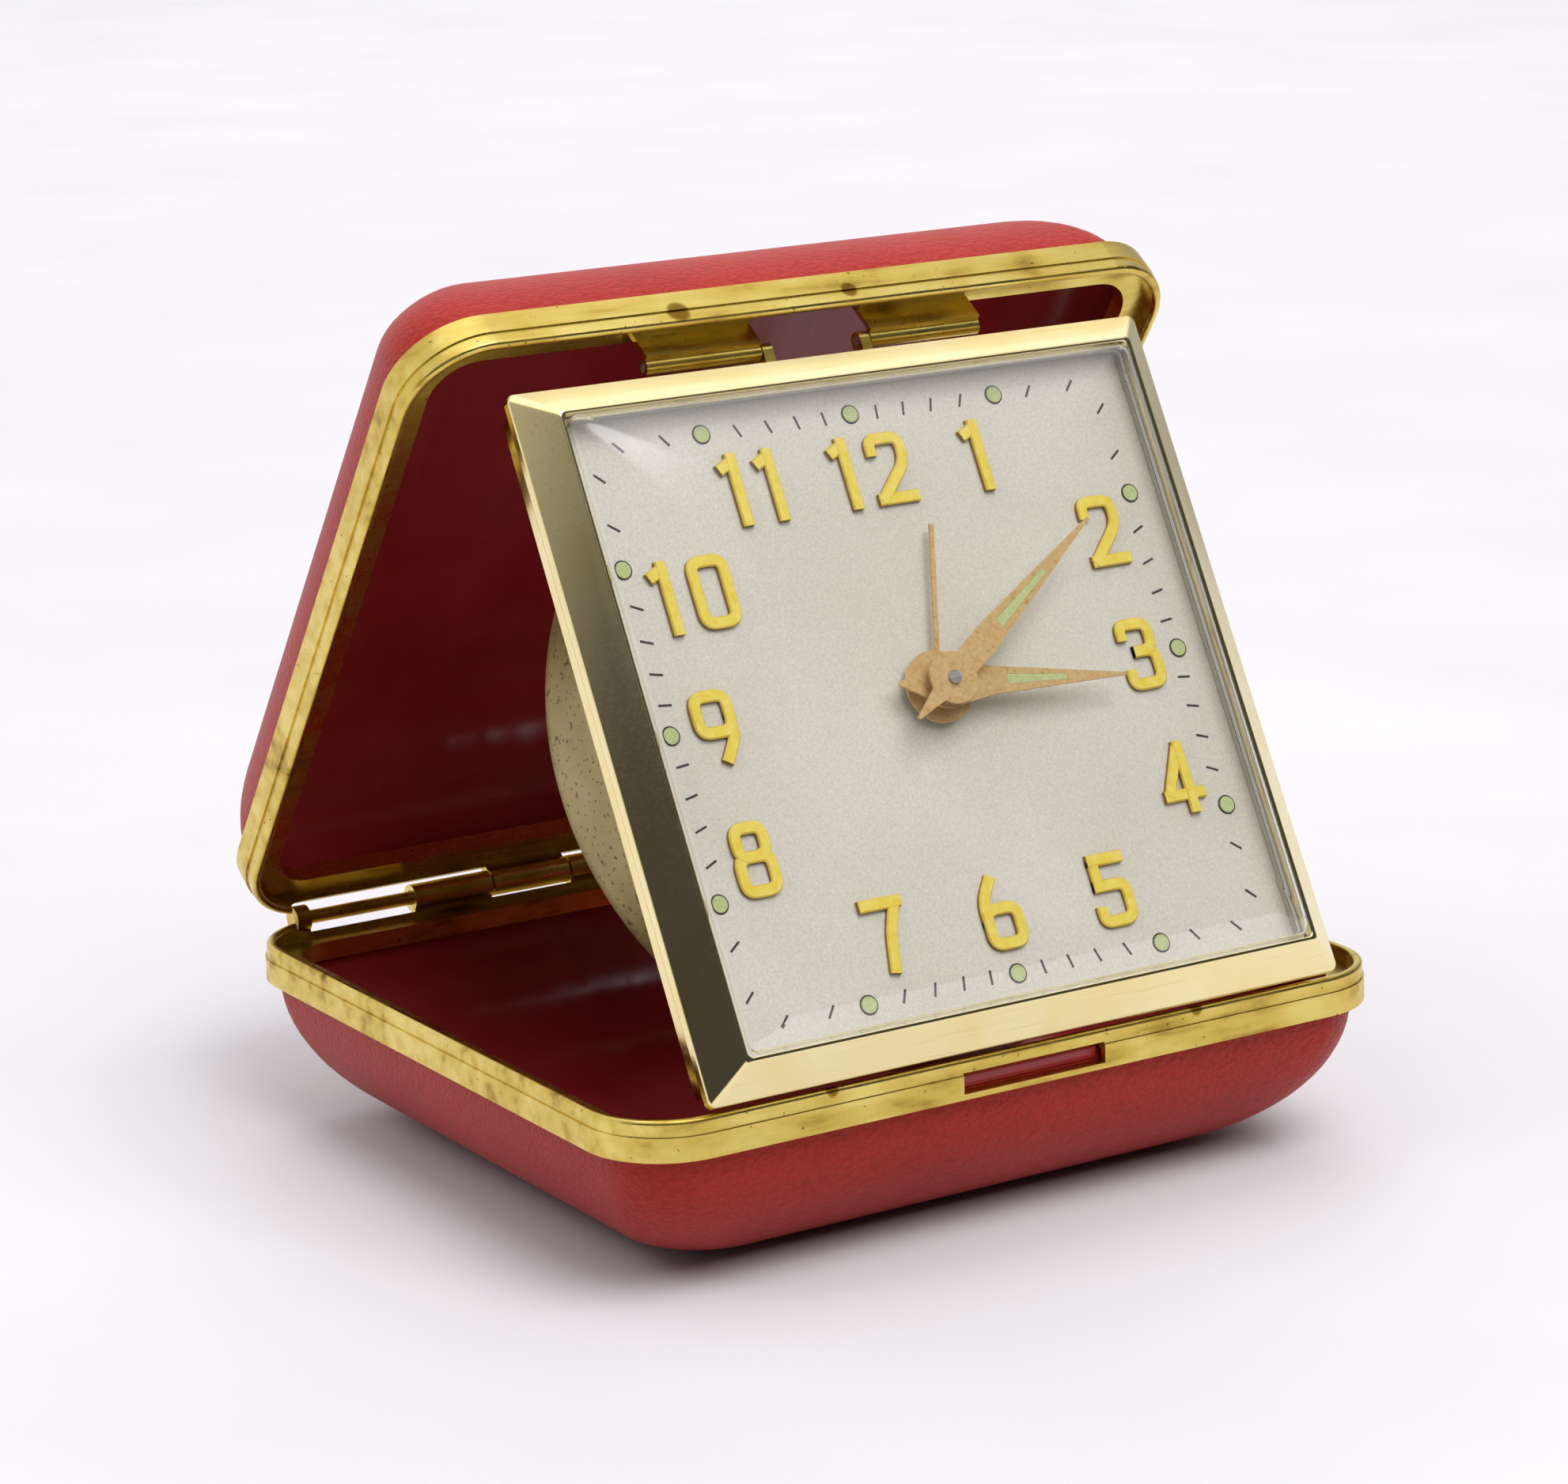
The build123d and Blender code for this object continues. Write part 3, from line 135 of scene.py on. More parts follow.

# %% [markdown]
# ### Red leathercloth
# The case is covered in PVC-coated cloth, embossed with a fine pebble grain. Each pebble is about
# 0.4 mm across and shines on its crown, and painted shade makes the creases between a little darker.
# A smooth Voronoi pattern, bent by a noise, gives the pebbles, and a slow noise makes the red
# uneven, as handling does. The coating's own colour warms its sheen, so the specular tint is a pale red.

# %% Finish: red leathercloth
leather, shader, place = finish("red_leathercloth")
bend = node(leather, "TexNoise", {"Vector": place, "Scale": per_mm(2.2), "Detail": 2.0})
bent = node(leather, "MixRGB", {"Fac": 0.0012, "Color1": place, "Color2": bend.outputs["Color"]},
            blend_type="ADD")
stretch = node(leather, "Mapping", {"Vector": bent.outputs["Color"], "Scale": (0.72, 1.0, 1.0)})
pebbles = node(leather, "TexVoronoi", {"Vector": stretch.outputs["Vector"], "Scale": per_mm(0.42),
                                       "Smoothness": 0.35}, feature="SMOOTH_F1")
patches = node(leather, "TexNoise", {"Vector": place, "Scale": per_mm(14), "Detail": 3.0})
red = node(leather, "ValToRGB", {"Fac": patches.outputs["Fac"]},
           stops=[(0.3, "#9B2119"), (0.7, "#A52920")])
# Painted shade: the creases between the pebbles are painted a little darker.
crease = node(leather, "ValToRGB", {"Fac": pebbles.outputs["Distance"]},
              stops=[(0.3, "#FFFFFF"), (0.85, "#E6D4D2")])
grained = node(leather, "MixRGB", {"Fac": 1.0, "Color1": red.outputs["Color"],
                                   "Color2": crease.outputs["Color"]}, blend_type="MULTIPLY")
height = node(leather, "Math", {0: 1.0, 1: pebbles.outputs["Distance"]}, operation="SUBTRACT")
grain = node(leather, "Bump", {"Height": height.outputs[0], "Strength": 0.55, "Distance": 0.16 * MM})
fill(leather, shader, {"Base Color": grained.outputs["Color"], "Normal": grain.outputs["Normal"],
                       "Roughness": 0.47, "Specular IOR Level": 0.4,
                       "Specular Tint": colour("#F6BCAE")})
print(leather.name)

# %% [markdown]
# ### Maroon vinyl
# The trays are lined with smooth, shiny maroon vinyl. It was drawn over a pan while warm, so it is
# not quite flat: long shallow waves run down the walls and pull the reflections into streaks.

# %% Finish: maroon vinyl
vinyl, shader, place = finish("maroon_vinyl")
long_way = node(vinyl, "Mapping", {"Vector": place, "Scale": (1.0, 0.12, 0.12)})
waves = node(vinyl, "TexNoise", {"Vector": long_way.outputs["Vector"], "Scale": per_mm(5.5),
                                 "Detail": 2.0})
cloud = node(vinyl, "TexNoise", {"Vector": place, "Scale": per_mm(11), "Detail": 4.0})
maroon = node(vinyl, "ValToRGB", {"Fac": cloud.outputs["Fac"]},
              stops=[(0.35, "#98242A"), (0.7, "#A42C30")])
haze = node(vinyl, "MapRange", {"Value": cloud.outputs["Fac"], "To Min": 0.12, "To Max": 0.24})
pull = node(vinyl, "Bump", {"Height": waves.outputs["Fac"], "Strength": 0.5, "Distance": 0.6 * MM})
fill(vinyl, shader, {"Base Color": maroon.outputs["Color"], "Normal": pull.outputs["Normal"],
                     "Roughness": haze.outputs["Result"], "Specular IOR Level": 0.5})
print(vinyl.name)

# %% [markdown]
# ### Aged brass
# The rims are pressed brass whose lacquer has worn through. Clean brass is yellow, old brass goes
# olive and then brown, and grime sits in specks. Two noises choose between the tones, the stains
# are rougher than the bright metal, and four spots on the front edges are darker.

# %% Finish: aged rim brass
brass, shader, place = finish("aged_brass")
# Four spots on the front edges, darker towards their middles.
dark_spots = [(Vector((-20, -35.3, 16.6)) * MM, 0.8), (Vector((17, -35.3, 16.6)) * MM, 0.8),
              (lid_place @ (Vector((-3.6, -35.7, -1.4)) * MM), 0.9),
              (lid_place @ (Vector((13.7, -35.7, -1.2)) * MM), 1.2)]
tarnish = node(brass, "TexNoise", {"Vector": place, "Scale": per_mm(7.0), "Detail": 5.0})
along = node(brass, "Mapping", {"Vector": place, "Scale": (0.2, 1.0, 1.0)})
drag = node(brass, "TexNoise", {"Vector": along.outputs["Vector"], "Scale": per_mm(1.6),
                                "Detail": 5.0})
both = node(brass, "Math", {0: tarnish.outputs["Fac"], 1: drag.outputs["Fac"]}, operation="MULTIPLY")
tone = node(brass, "ValToRGB", {"Fac": both.outputs[0]},
            stops=[(0.09, "#7A5E28"), (0.13, "#B29440"), (0.2, "#D4B858"), (0.36, "#E4CF76")])
for spot, reach in dark_spots:
    away = node(brass, "VectorMath", {0: place, 1: spot}, operation="DISTANCE")
    inside = node(brass, "MapRange", {"Value": away.outputs["Value"], "From Min": 0.5 * reach * MM,
                                      "From Max": reach * MM})
    mark = node(brass, "ValToRGB", {"Fac": inside.outputs["Result"]},
                stops=[(0.0, "#A08A5C"), (0.5, "#AE9866"), (1.0, "#FFFFFF")])
    tone = node(brass, "MixRGB", {"Fac": 1.0, "Color1": tone.outputs["Color"],
                                  "Color2": mark.outputs["Color"]}, blend_type="MULTIPLY")
specks = node(brass, "TexNoise", {"Vector": place, "Scale": per_mm(0.6), "Detail": 2.0})
grime = node(brass, "ValToRGB", {"Fac": specks.outputs["Fac"]},
             stops=[(0.25, "#4A3A1C"), (0.3, "#FFFFFF")])
dirty = node(brass, "MixRGB", {"Fac": 0.8, "Color1": tone.outputs["Color"],
                               "Color2": grime.outputs["Color"]}, blend_type="MULTIPLY")
worn = node(brass, "MapRange", {"Value": both.outputs[0], "From Min": 0.1, "From Max": 0.35,
                                "To Min": 0.42, "To Max": 0.22})
dents = node(brass, "Bump", {"Height": both.outputs[0], "Strength": 0.3, "Distance": 0.3 * MM})
fill(brass, shader, {"Base Color": dirty.outputs["Color"], "Normal": dents.outputs["Normal"],
                     "Roughness": worn.outputs["Result"], "Metallic": 1.0})
print(brass.name)

# %% [markdown]
# ### Polished gilt
# The bezel is thin brass, polished and gilt in a pale champagne tone. Handling has left hairline
# scratches, mostly on one slant, so a noise stretched along that slant disturbs the roughness.
# Faces that look up are made less metallic, so that the lamps and the room light them brighter: a
# painted highlight in place of the bright reflection on the top slope.

# %% Finish: polished gilt of the bezel
gilt, shader, place = finish("polished_gilt")
slant = node(gilt, "Mapping", {"Vector": place, "Rotation": (0.0, radians(38), 0.0),
                               "Scale": (0.03, 1.0, 1.0)})
hairlines = node(gilt, "TexNoise", {"Vector": slant.outputs["Vector"], "Scale": per_mm(0.28),
                                    "Detail": 3.0})
soft = node(gilt, "TexNoise", {"Vector": place, "Scale": per_mm(9), "Detail": 3.0})
tone = node(gilt, "ValToRGB", {"Fac": soft.outputs["Fac"]},
            stops=[(0.35, "#F2DFA0"), (0.7, "#F8EAB8")])
scratch = node(gilt, "ValToRGB", {"Fac": hairlines.outputs["Fac"]},
               stops=[(0.62, "#FFFFFF"), (0.74, "#CDBB8A")])
lined = node(gilt, "MixRGB", {"Fac": 0.35, "Color1": tone.outputs["Color"],
                              "Color2": scratch.outputs["Color"]}, blend_type="MULTIPLY")
rough = node(gilt, "MapRange", {"Value": hairlines.outputs["Fac"], "From Min": 0.5, "From Max": 0.8,
                                "To Min": 0.12, "To Max": 0.2})
faces = node(gilt, "SeparateXYZ", {0: node(gilt, "TexCoord").outputs["Normal"]})
# Painted highlight: faces that look up get less metal, so they come out brighter.
upward_highlight = node(gilt, "MapRange", {"Value": faces.outputs["Z"], "From Min": 0.75, "From Max": 0.9,
                                "To Min": 1.0, "To Max": 0.3})
fill(gilt, shader, {"Base Color": lined.outputs["Color"], "Roughness": rough.outputs["Result"],
                    "Metallic": upward_highlight.outputs["Result"]})
print(gilt.name)

# %% [markdown]
# ### Gold lacquer
# The can behind the dial is steel sprayed with gold lacquer. It is satin, not polished, and age has
# peppered it with dark specks.

# %% Finish: gold lacquer of the can
lacquer, shader, place = finish("gold_lacquer")
mist = node(lacquer, "TexNoise", {"Vector": place, "Scale": per_mm(6), "Detail": 4.0})
tone = node(lacquer, "ValToRGB", {"Fac": mist.outputs["Fac"]},
            stops=[(0.35, "#988655"), (0.7, "#A89766")])
pepper = node(lacquer, "TexNoise", {"Vector": place, "Scale": per_mm(0.5), "Detail": 1.0})
spots = node(lacquer, "ValToRGB", {"Fac": pepper.outputs["Fac"]},
             stops=[(0.32, "#5B4A2A"), (0.36, "#FFFFFF")])
aged = node(lacquer, "MixRGB", {"Fac": 0.75, "Color1": tone.outputs["Color"],
                                "Color2": spots.outputs["Color"]}, blend_type="MULTIPLY")
orange = node(lacquer, "Bump", {"Height": pepper.outputs["Fac"], "Strength": 0.12,
                                "Distance": 0.1 * MM})
fill(lacquer, shader, {"Base Color": aged.outputs["Color"], "Normal": orange.outputs["Normal"],
                       "Metallic": 0.6, "Roughness": 0.45})
print(lacquer.name)

# %% [markdown]
# ### Dial paint and ink
# The dial is sprayed a silvery cream with a fine metallic grain, and its strokes are printed in
# thin dark ink that lets a little of the paint through.

# %% Finishes: dial paint and ink
silver, shader, place = finish("silvered_dial_paint")
flake = node(silver, "TexNoise", {"Vector": place, "Scale": per_mm(0.22), "Detail": 2.0})
shade = node(silver, "TexNoise", {"Vector": place, "Scale": per_mm(20), "Detail": 2.0})
grey = node(silver, "ValToRGB", {"Fac": shade.outputs["Fac"]},
            stops=[(0.3, "#D6D1C4"), (0.7, "#DFDBCF")])
fleck = node(silver, "ValToRGB", {"Fac": flake.outputs["Fac"]},
             stops=[(0.3, "#E4E2DC"), (0.7, "#FFFFFF")])
mixed = node(silver, "MixRGB", {"Fac": 0.7, "Color1": grey.outputs["Color"],
                                "Color2": fleck.outputs["Color"]}, blend_type="MULTIPLY")
sand = node(silver, "Bump", {"Height": flake.outputs["Fac"], "Strength": 0.1, "Distance": 0.05 * MM})
fill(silver, shader, {"Base Color": mixed.outputs["Color"], "Normal": sand.outputs["Normal"],
                      "Metallic": 0.15, "Roughness": 0.48})

ink, shader, place = finish("dial_ink")
thin = node(ink, "TexNoise", {"Vector": place, "Scale": per_mm(0.3), "Detail": 2.0})
tone = node(ink, "ValToRGB", {"Fac": thin.outputs["Fac"]}, stops=[(0.3, "#2E2B2B"), (0.7, "#474343")])
fill(ink, shader, {"Base Color": tone.outputs["Color"], "Roughness": 0.6})
print(silver.name, ink.name)

# %% [markdown]
# ### Yellow gilt, lume and hand brass
# The numerals are stamped from yellow gilt brass. Their sides sit in each other's shade, so faces
# that turn away from the dial's front are darker. The lume is a chalky pale green paint, and the
# hands are brass that has darkened to a coppery tone with small brown freckles.

# %% Finishes: numerals, lume and hands
numeral_gilt, shader, place = finish("yellow_gilt_brass")
dull = node(numeral_gilt, "TexNoise", {"Vector": place, "Scale": per_mm(0.9), "Detail": 3.0})
tone = node(numeral_gilt, "ValToRGB", {"Fac": dull.outputs["Fac"]},
            stops=[(0.3, "#EED248"), (0.7, "#F6E272")])
out_of_dial = clock_place.to_3x3() @ Vector((0, 0, 1))
normal = node(numeral_gilt, "TexCoord").outputs["Normal"]
facing = node(numeral_gilt, "VectorMath", {0: normal, 1: out_of_dial}, operation="DOT_PRODUCT")
sides = node(numeral_gilt, "ValToRGB", {"Fac": facing.outputs["Value"]},
             stops=[(0.3, "#9A8246"), (0.75, "#F2EAD0"), (0.98, "#FFFFFF")])
edged = node(numeral_gilt, "MixRGB", {"Fac": 1.0, "Color1": tone.outputs["Color"],
                                      "Color2": sides.outputs["Color"]}, blend_type="MULTIPLY")
fill(numeral_gilt, shader, {"Base Color": edged.outputs["Color"], "Metallic": 0.25, "Roughness": 0.3})

lume_paint, shader, place = finish("lume_paint")
chalk = node(lume_paint, "TexNoise", {"Vector": place, "Scale": per_mm(0.3), "Detail": 3.0})
tone = node(lume_paint, "ValToRGB", {"Fac": chalk.outputs["Fac"]},
            stops=[(0.3, "#A8B27A"), (0.7, "#B9C48A")])
fill(lume_paint, shader, {"Base Color": tone.outputs["Color"], "Roughness": 0.7})

copper, shader, place = finish("coppery_hand_brass")
freckles = node(copper, "TexNoise", {"Vector": place, "Scale": per_mm(0.4), "Detail": 4.0})
tone = node(copper, "ValToRGB", {"Fac": freckles.outputs["Fac"]},
            stops=[(0.26, "#A67C48"), (0.34, "#CDA86C"), (0.7, "#DCBC88")])
pits = node(copper, "Bump", {"Height": freckles.outputs["Fac"], "Strength": 0.2,
                             "Distance": 0.05 * MM})
fill(copper, shader, {"Base Color": tone.outputs["Color"], "Normal": pits.outputs["Normal"],
                      "Metallic": 0.35, "Roughness": 0.42})
print(numeral_gilt.name, lume_paint.name, copper.name)

# %% [markdown]
# ### Clear acrylic
# The crystal is pressed acrylic. Real glass in a path tracer blocks the lamps' shadow rays and
# leaves the dial dark, so for those rays alone the material is a plain transparent sheet.

# %% Finish: clear acrylic
acrylic, shader, place = finish("clear_acrylic")
rub = node(acrylic, "TexNoise", {"Vector": place, "Scale": per_mm(8), "Detail": 4.0})
blur = node(acrylic, "MapRange", {"Value": rub.outputs["Fac"], "To Min": 0.0, "To Max": 0.05})
fill(acrylic, shader, {"Base Color": colour("#FFFFFF"), "Roughness": blur.outputs["Result"],
                       "Transmission Weight": 1.0, "IOR": 1.49})
clear = node(acrylic, "BsdfTransparent")
lamp_ray = node(acrylic, "LightPath").outputs["Is Shadow Ray"]
choice = node(acrylic, "MixShader", {"Fac": lamp_ray, 1: shader.outputs[0], 2: clear.outputs[0]})
fill(acrylic, acrylic.node_tree.nodes["Material Output"], {"Surface": choice.outputs[0]})
print(acrylic.name)

# %% [markdown]
# ### Works
# Steel and brass of the movement are hardly seen, but they still get a drawn grain of their own:
# a noise stretched ten times along one axis. The pans under the covers are dark primed steel.

# %% Finishes of the works
drawn_metals = {}
for name, spacing, dark, light, metallic in (("drawn_steel", 0.25, "#A4A3A2", "#C6C5C3", 0.7),
                                             ("rolled_brass", 0.3, "#C0A050", "#D8BC6C", 1.0)):
    metal, shader, place = finish(name)
    drawn = node(metal, "Mapping", {"Vector": place, "Scale": (0.1, 1.0, 1.0)})
    lines = node(metal, "TexNoise", {"Vector": drawn.outputs["Vector"], "Scale": per_mm(spacing),
                                     "Detail": 2.0})
    tone = node(metal, "ValToRGB", {"Fac": lines.outputs["Fac"]}, stops=[(0.3, dark), (0.7, light)])
    fill(metal, shader, {"Base Color": tone.outputs["Color"], "Metallic": metallic, "Roughness": 0.35})
    drawn_metals[name] = metal

primer, shader, place = finish("primed_steel")
dust = node(primer, "TexNoise", {"Vector": place, "Scale": per_mm(0.8), "Detail": 3.0})
tone = node(primer, "ValToRGB", {"Fac": dust.outputs["Fac"]},
            stops=[(0.3, "#3A3A3C"), (0.7, "#4A4A4C")])
fill(primer, shader, {"Base Color": tone.outputs["Color"], "Roughness": 0.6})
print(*drawn_metals, primer.name)

# %% [markdown]
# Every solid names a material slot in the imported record. A table from slot to finish dresses them
# all at once, the ones that a finer piece replaces later included.

# %% Dress the solids
finishes = {
    "red_leather": leather, "maroon_lining": vinyl, "rim_brass": brass, "bezel_gilt": gilt,
    "can_gold": lacquer, "dial_silver": silver, "numeral_gilt": numeral_gilt, "lume": lume_paint,
    "hand_brass": copper, "crystal_acrylic": acrylic, "pan_steel": primer,
    "steel": drawn_metals["drawn_steel"], "movement_brass": drawn_metals["rolled_brass"],
}
for part in frame["record"]["subparts"]:
    mesh = nodes[part["node"]].data
    mesh.materials.clear()
    mesh.materials.append(finishes[part["material_slot"]])

# %% [markdown]
# ## Rounded frames
# The covers, the linings, the bezel and the crystal are all stacks of rounded rectangles that grow,
# shrink and rise. So one helper does them all: it starts from a flat plate, rounds its four corners
# with a vertex bevel, then extrudes the open edge once for each further ring and slides the new
# vertices to that ring's size.

# %% Helpers: a stack of rounded rectangles, and a finished piece
CORNER_STEPS = 10
SHARP_FOLD = 32


def plate(width, depth, corner, level):
    bm = bmesh.new()
    bmesh.ops.create_grid(bm, x_segments=1, y_segments=1, size=0.5)
    bmesh.ops.scale(bm, vec=(width, depth, 1), verts=bm.verts)
    bmesh.ops.translate(bm, vec=(0, 0, level), verts=bm.verts)
    bmesh.ops.bevel(bm, geom=bm.verts[:], offset=corner, segments=CORNER_STEPS, profile=0.5,
                    affect="VERTICES", material=-1)
    return bm


def stack(rings):
    """A wall through rings of (width, depth, corner, level), with its first ring closed."""
    width, depth, corner = rings[0][:3]
    bm = plate(*rings[0])
    for wide, deep, round_off, high in rings[1:]:
        edges = [edge for edge in bm.edges if edge.is_boundary]
        grown = bmesh.ops.extrude_edge_only(bm, edges=edges)["geom"]
        for vertex in [g for g in grown if isinstance(g, bmesh.types.BMVert)]:
            for axis, old, new in ((0, width, wide), (1, depth, deep)):
                side = 1 if vertex.co[axis] > 0 else -1
                arc = (vertex.co[axis] - side * (old / 2 - corner)) / corner
                vertex.co[axis] = side * (new / 2 - round_off) + arc * round_off
            vertex.co.z = high
        width, depth, corner = wide, deep, round_off
    return bm


def piece(name, bm, place, material, body, stands_for=(), sharp=SHARP_FOLD):
    """Put a finished mesh, in millimetres, into the scene."""
    bmesh.ops.transform(bm, matrix=place @ Matrix.Scale(MM, 4), verts=bm.verts)
    for face in bm.faces:
        face.smooth = True
    for edge in bm.edges:
        edge.smooth = not edge.is_manifold or edge.calc_face_angle() < radians(sharp)
    mesh = bpy.data.meshes.new(name)
    bm.to_mesh(mesh)
    bm.free()
    mesh.materials.append(material)
    made = bpy.data.objects.new(name, mesh)
    scene.collection.objects.link(made)
    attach(made, body)
    if stands_for:
        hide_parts(*stands_for)
    print(name, len(mesh.polygons), "faces")
    return made


def thicken(made, thickness):
    """Give a sheet its thickness, on the side away from its faces."""
    wall = made.modifiers.new("thickness", "SOLIDIFY")
    wall.thickness = thickness * MM
    wall.offset = -1
    return made


def soften(made, width, segments=2):
    """Take the sharpness off edges that a press or a polishing wheel would have rounded."""
    edge = made.modifiers.new("edge", "BEVEL")
    edge.width = width * MM
    edge.segments = segments
    edge.limit_method = "ANGLE"
    edge.angle_limit = radians(SHARP_FOLD)
    return made


print("helpers ready")

# %% [markdown]
# ## The two trays
# Base and lid are the same pressed tray: a straight wall under the rim, then a quarter ellipse down
# to a flat floor. The cover is its outside and the lining its inside. Twenty rings make the curve
# smooth enough for the shine of the lining.

# %% Covers and linings
BAND_HEIGHT = 3.5
SHELL_TOP = 1.95
SET_IN, SPREAD = 1.2, 14.5
FLOOR_CORNER, WALL_CORNER = 6.5, 6.2
TRAY_RINGS = 20
COVER, PAN, LINING = 0.7, 0.4, 0.45


def tray(inset):
    rings = []
    for step in range(TRAY_RINGS, -1, -1):
        angle = pi / 2 * step / TRAY_RINGS
        edge = SET_IN + inset + (SPREAD - inset) * (1 - cos(angle))
        depth = BAND_HEIGHT + (CASE_HEIGHT - BAND_HEIGHT - inset) * sin(angle)
        corner = WALL_CORNER + (FLOOR_CORNER - WALL_CORNER) * step / TRAY_RINGS - inset
        rings.append((CASE_WIDTH - 2 * edge, CASE_DEPTH - 2 * edge, corner, -depth))
    rings.append((*rings[-1][:3], -SHELL_TOP))
    bm = stack(rings)
    bmesh.ops.recalc_face_normals(bm, faces=bm.faces)
    if bm.faces[0].normal.z > 0:
        bmesh.ops.reverse_faces(bm, faces=bm.faces)
    return bm


for body, place in (("base", base_place), ("lid", lid_place)):
    cover = piece(body + "_leather", tray(0), place, leather, body, [body + "_cover"])
    thicken(cover, COVER)
    lining = piece(body + "_lining", tray(COVER + PAN), place, vinyl, body,
                   [body + "_liner"])
    thicken(lining, LINING)

# %% [markdown]
# Behind the slot in the base's front band, the lining is turned up over the edge of the tray. It is
# what the catch would press on, and it shows as a shiny maroon bar.

# %% Turned-up lining behind the slot
SLOT_BAR = (14.2, 2.2, 1.3)
SLOT_BAR_MIDDLE = (0, -33.8, -2.2)
SLOT_BAR_ROUND = 0.3

bm = bmesh.new()
bmesh.ops.create_cube(bm, size=1, matrix=(Matrix.Translation(SLOT_BAR_MIDDLE)
                                          @ Matrix.Diagonal((*SLOT_BAR, 1))))
bmesh.ops.bevel(bm, geom=bm.edges[:], offset=SLOT_BAR_ROUND, segments=3, profile=0.5, affect="EDGES",
                material=-1)
piece("slot_lining", bm, base_place, vinyl, "base")

# %% [markdown]
# ## The bezel
# The bezel is one pressing: a stepped side wall, a thin lip, a broad slope up to the crystal and a
# short wall down inside. The same stack of rings draws that section, and a narrow bevel gives each
# fold the bright line that polished metal has.

# %% Bezel
SIDE_WALL, LIP, CREST = (61.9, 59.4), (63.9, 61.4), (57.9, 56.0)
OPENING, SEAT, INNER_WALL = (57.2, 55.3), (58.8, 56.9), (60.9, 58.4)
FOOT_LEVEL, LIP_BACK, SHOULDER_LEVEL, SEAT_LEVEL, CREST_LEVEL = -3.8, -0.9, -0.5, 1.5, 2.48
OUTER_CORNER, CREST_CORNER = 0.7, 0.5
POLISHED_EDGE = 0.12


def open_floor(bm):
    """Take away the plate that a stack of rings starts from."""
    floor_face = max(bm.faces, key=lambda face: face.calc_area())
    bmesh.ops.delete(bm, geom=[floor_face], context="FACES_ONLY")


bm = stack([
    (*SIDE_WALL, OUTER_CORNER, FOOT_LEVEL), (*SIDE_WALL, OUTER_CORNER, LIP_BACK),
    (*LIP, OUTER_CORNER, LIP_BACK), (*LIP, OUTER_CORNER, 0.0),
    (*CREST, CREST_CORNER, CREST_LEVEL), (*OPENING, CREST_CORNER, CREST_LEVEL),
    (*OPENING, CREST_CORNER, SEAT_LEVEL), (*SEAT, OUTER_CORNER, SEAT_LEVEL),
    (*INNER_WALL, OUTER_CORNER, SHOULDER_LEVEL), (*INNER_WALL, OUTER_CORNER, FOOT_LEVEL),
])
open_floor(bm)
rims = [edge for edge in bm.edges if edge.is_boundary]
bmesh.ops.bridge_loops(bm, edges=rims)
bmesh.ops.recalc_face_normals(bm, faces=bm.faces)
bezel = piece("bezel_frame", bm, clock_place, gilt, "clock", ["bezel"])
soften(bezel, POLISHED_EDGE)

# %% [markdown]
# ## The crystal
# The crystal is a pillow: straight sides, then a dome that is square at the edge and round in the
# middle. The rise of a ring at share s of the full size is the fourth-power arch sqrt(1 - s^4), and
# its corners open up towards the middle, which gives the four soft creases of the real one.

# %% Crystal
CRYSTAL_WIDTH, CRYSTAL_HEIGHT = 56.9, 55.0
CRYSTAL_FOOT, CRYSTAL_SIDE, CRYSTAL_CROWN = 1.0, 2.3, 5.6
CRYSTAL_CORNER, CRYSTAL_WALL = 1.0, 0.3
CROWN_RINGS = 40
CROWN_FOLD = 50

rings = []
for step in range(1, CROWN_RINGS + 1):
    share = sin(pi / 2 * step / CROWN_RINGS)
    width, height = CRYSTAL_WIDTH * share, CRYSTAL_HEIGHT * share
    shorter = min(width, height)
    corner = CRYSTAL_CORNER + shorter / 2 * 0.98 * (1 - share) ** 1.5
    rise = (CRYSTAL_CROWN - CRYSTAL_SIDE) * sqrt(1 - share ** 4)
    rings.append((width, height, min(corner, 0.49 * shorter), CRYSTAL_SIDE + rise))
rings.append((*rings[-1][:3], CRYSTAL_FOOT))
bm = stack(rings)
bmesh.ops.recalc_face_normals(bm, faces=bm.faces)
if bm.faces[0].normal.z < 0:
    bmesh.ops.reverse_faces(bm, faces=bm.faces)
crystal = piece("crystal_pillow", bm, clock_place, acrylic, "clock", ["crystal"],
                sharp=CROWN_FOLD)
thicken(crystal, CRYSTAL_WALL)

# %% [markdown]
# Round the dial stands a silvered edge, which shows through the crystal's side as a pale wall.

# %% Upstand round the dial
DIAL_FACE = -0.2
UPSTAND, UPSTAND_CORNER, UPSTAND_TOP = (57.15, 55.25), 0.6, 1.45
UPSTAND_WALL = 0.03

bm = stack([(*UPSTAND, UPSTAND_CORNER, DIAL_FACE), (*UPSTAND, UPSTAND_CORNER, UPSTAND_TOP)])
open_floor(bm)
bmesh.ops.recalc_face_normals(bm, faces=bm.faces)
upstand = piece("dial_upstand", bm, clock_place, silver, "clock")
thicken(upstand, -UPSTAND_WALL)

# %% [markdown]
# ## The dial's print
# Short strokes stand on a square track at every minute that has no hour dot. Each is a thin flat
# block turned to point at the centre. A dark ring is printed round every dot.

# %% Minute strokes and dot rings
DOT_TRACK, STROKE_TRACK = (25.8, 25.1), (25.5, 25.0)
STROKE = (0.2, 1.25, 0.03)
DOT_RING_RADIUS, DOT_RING_LIFT, DOT_RING_HEIGHT = 0.87, 0.02, 0.03


def on_track(minute, across, up):
    x, y = sin(radians(6 * minute)), cos(radians(6 * minute))
    reach = max(abs(x), abs(y))
    return across * x / reach, up * y / reach


bm = bmesh.new()
for minute in range(60):
    if minute % 5:
        x, y = on_track(minute, *STROKE_TRACK)
        spot = (Matrix.Translation((x, y, DIAL_FACE + STROKE[2] / 2))
                @ Matrix.Rotation(radians(-6 * minute), 4, "Z") @ Matrix.Diagonal((*STROKE, 1)))
        bmesh.ops.create_cube(bm, size=1, matrix=spot)
piece("minute_strokes", bm, clock_place, ink, "clock")

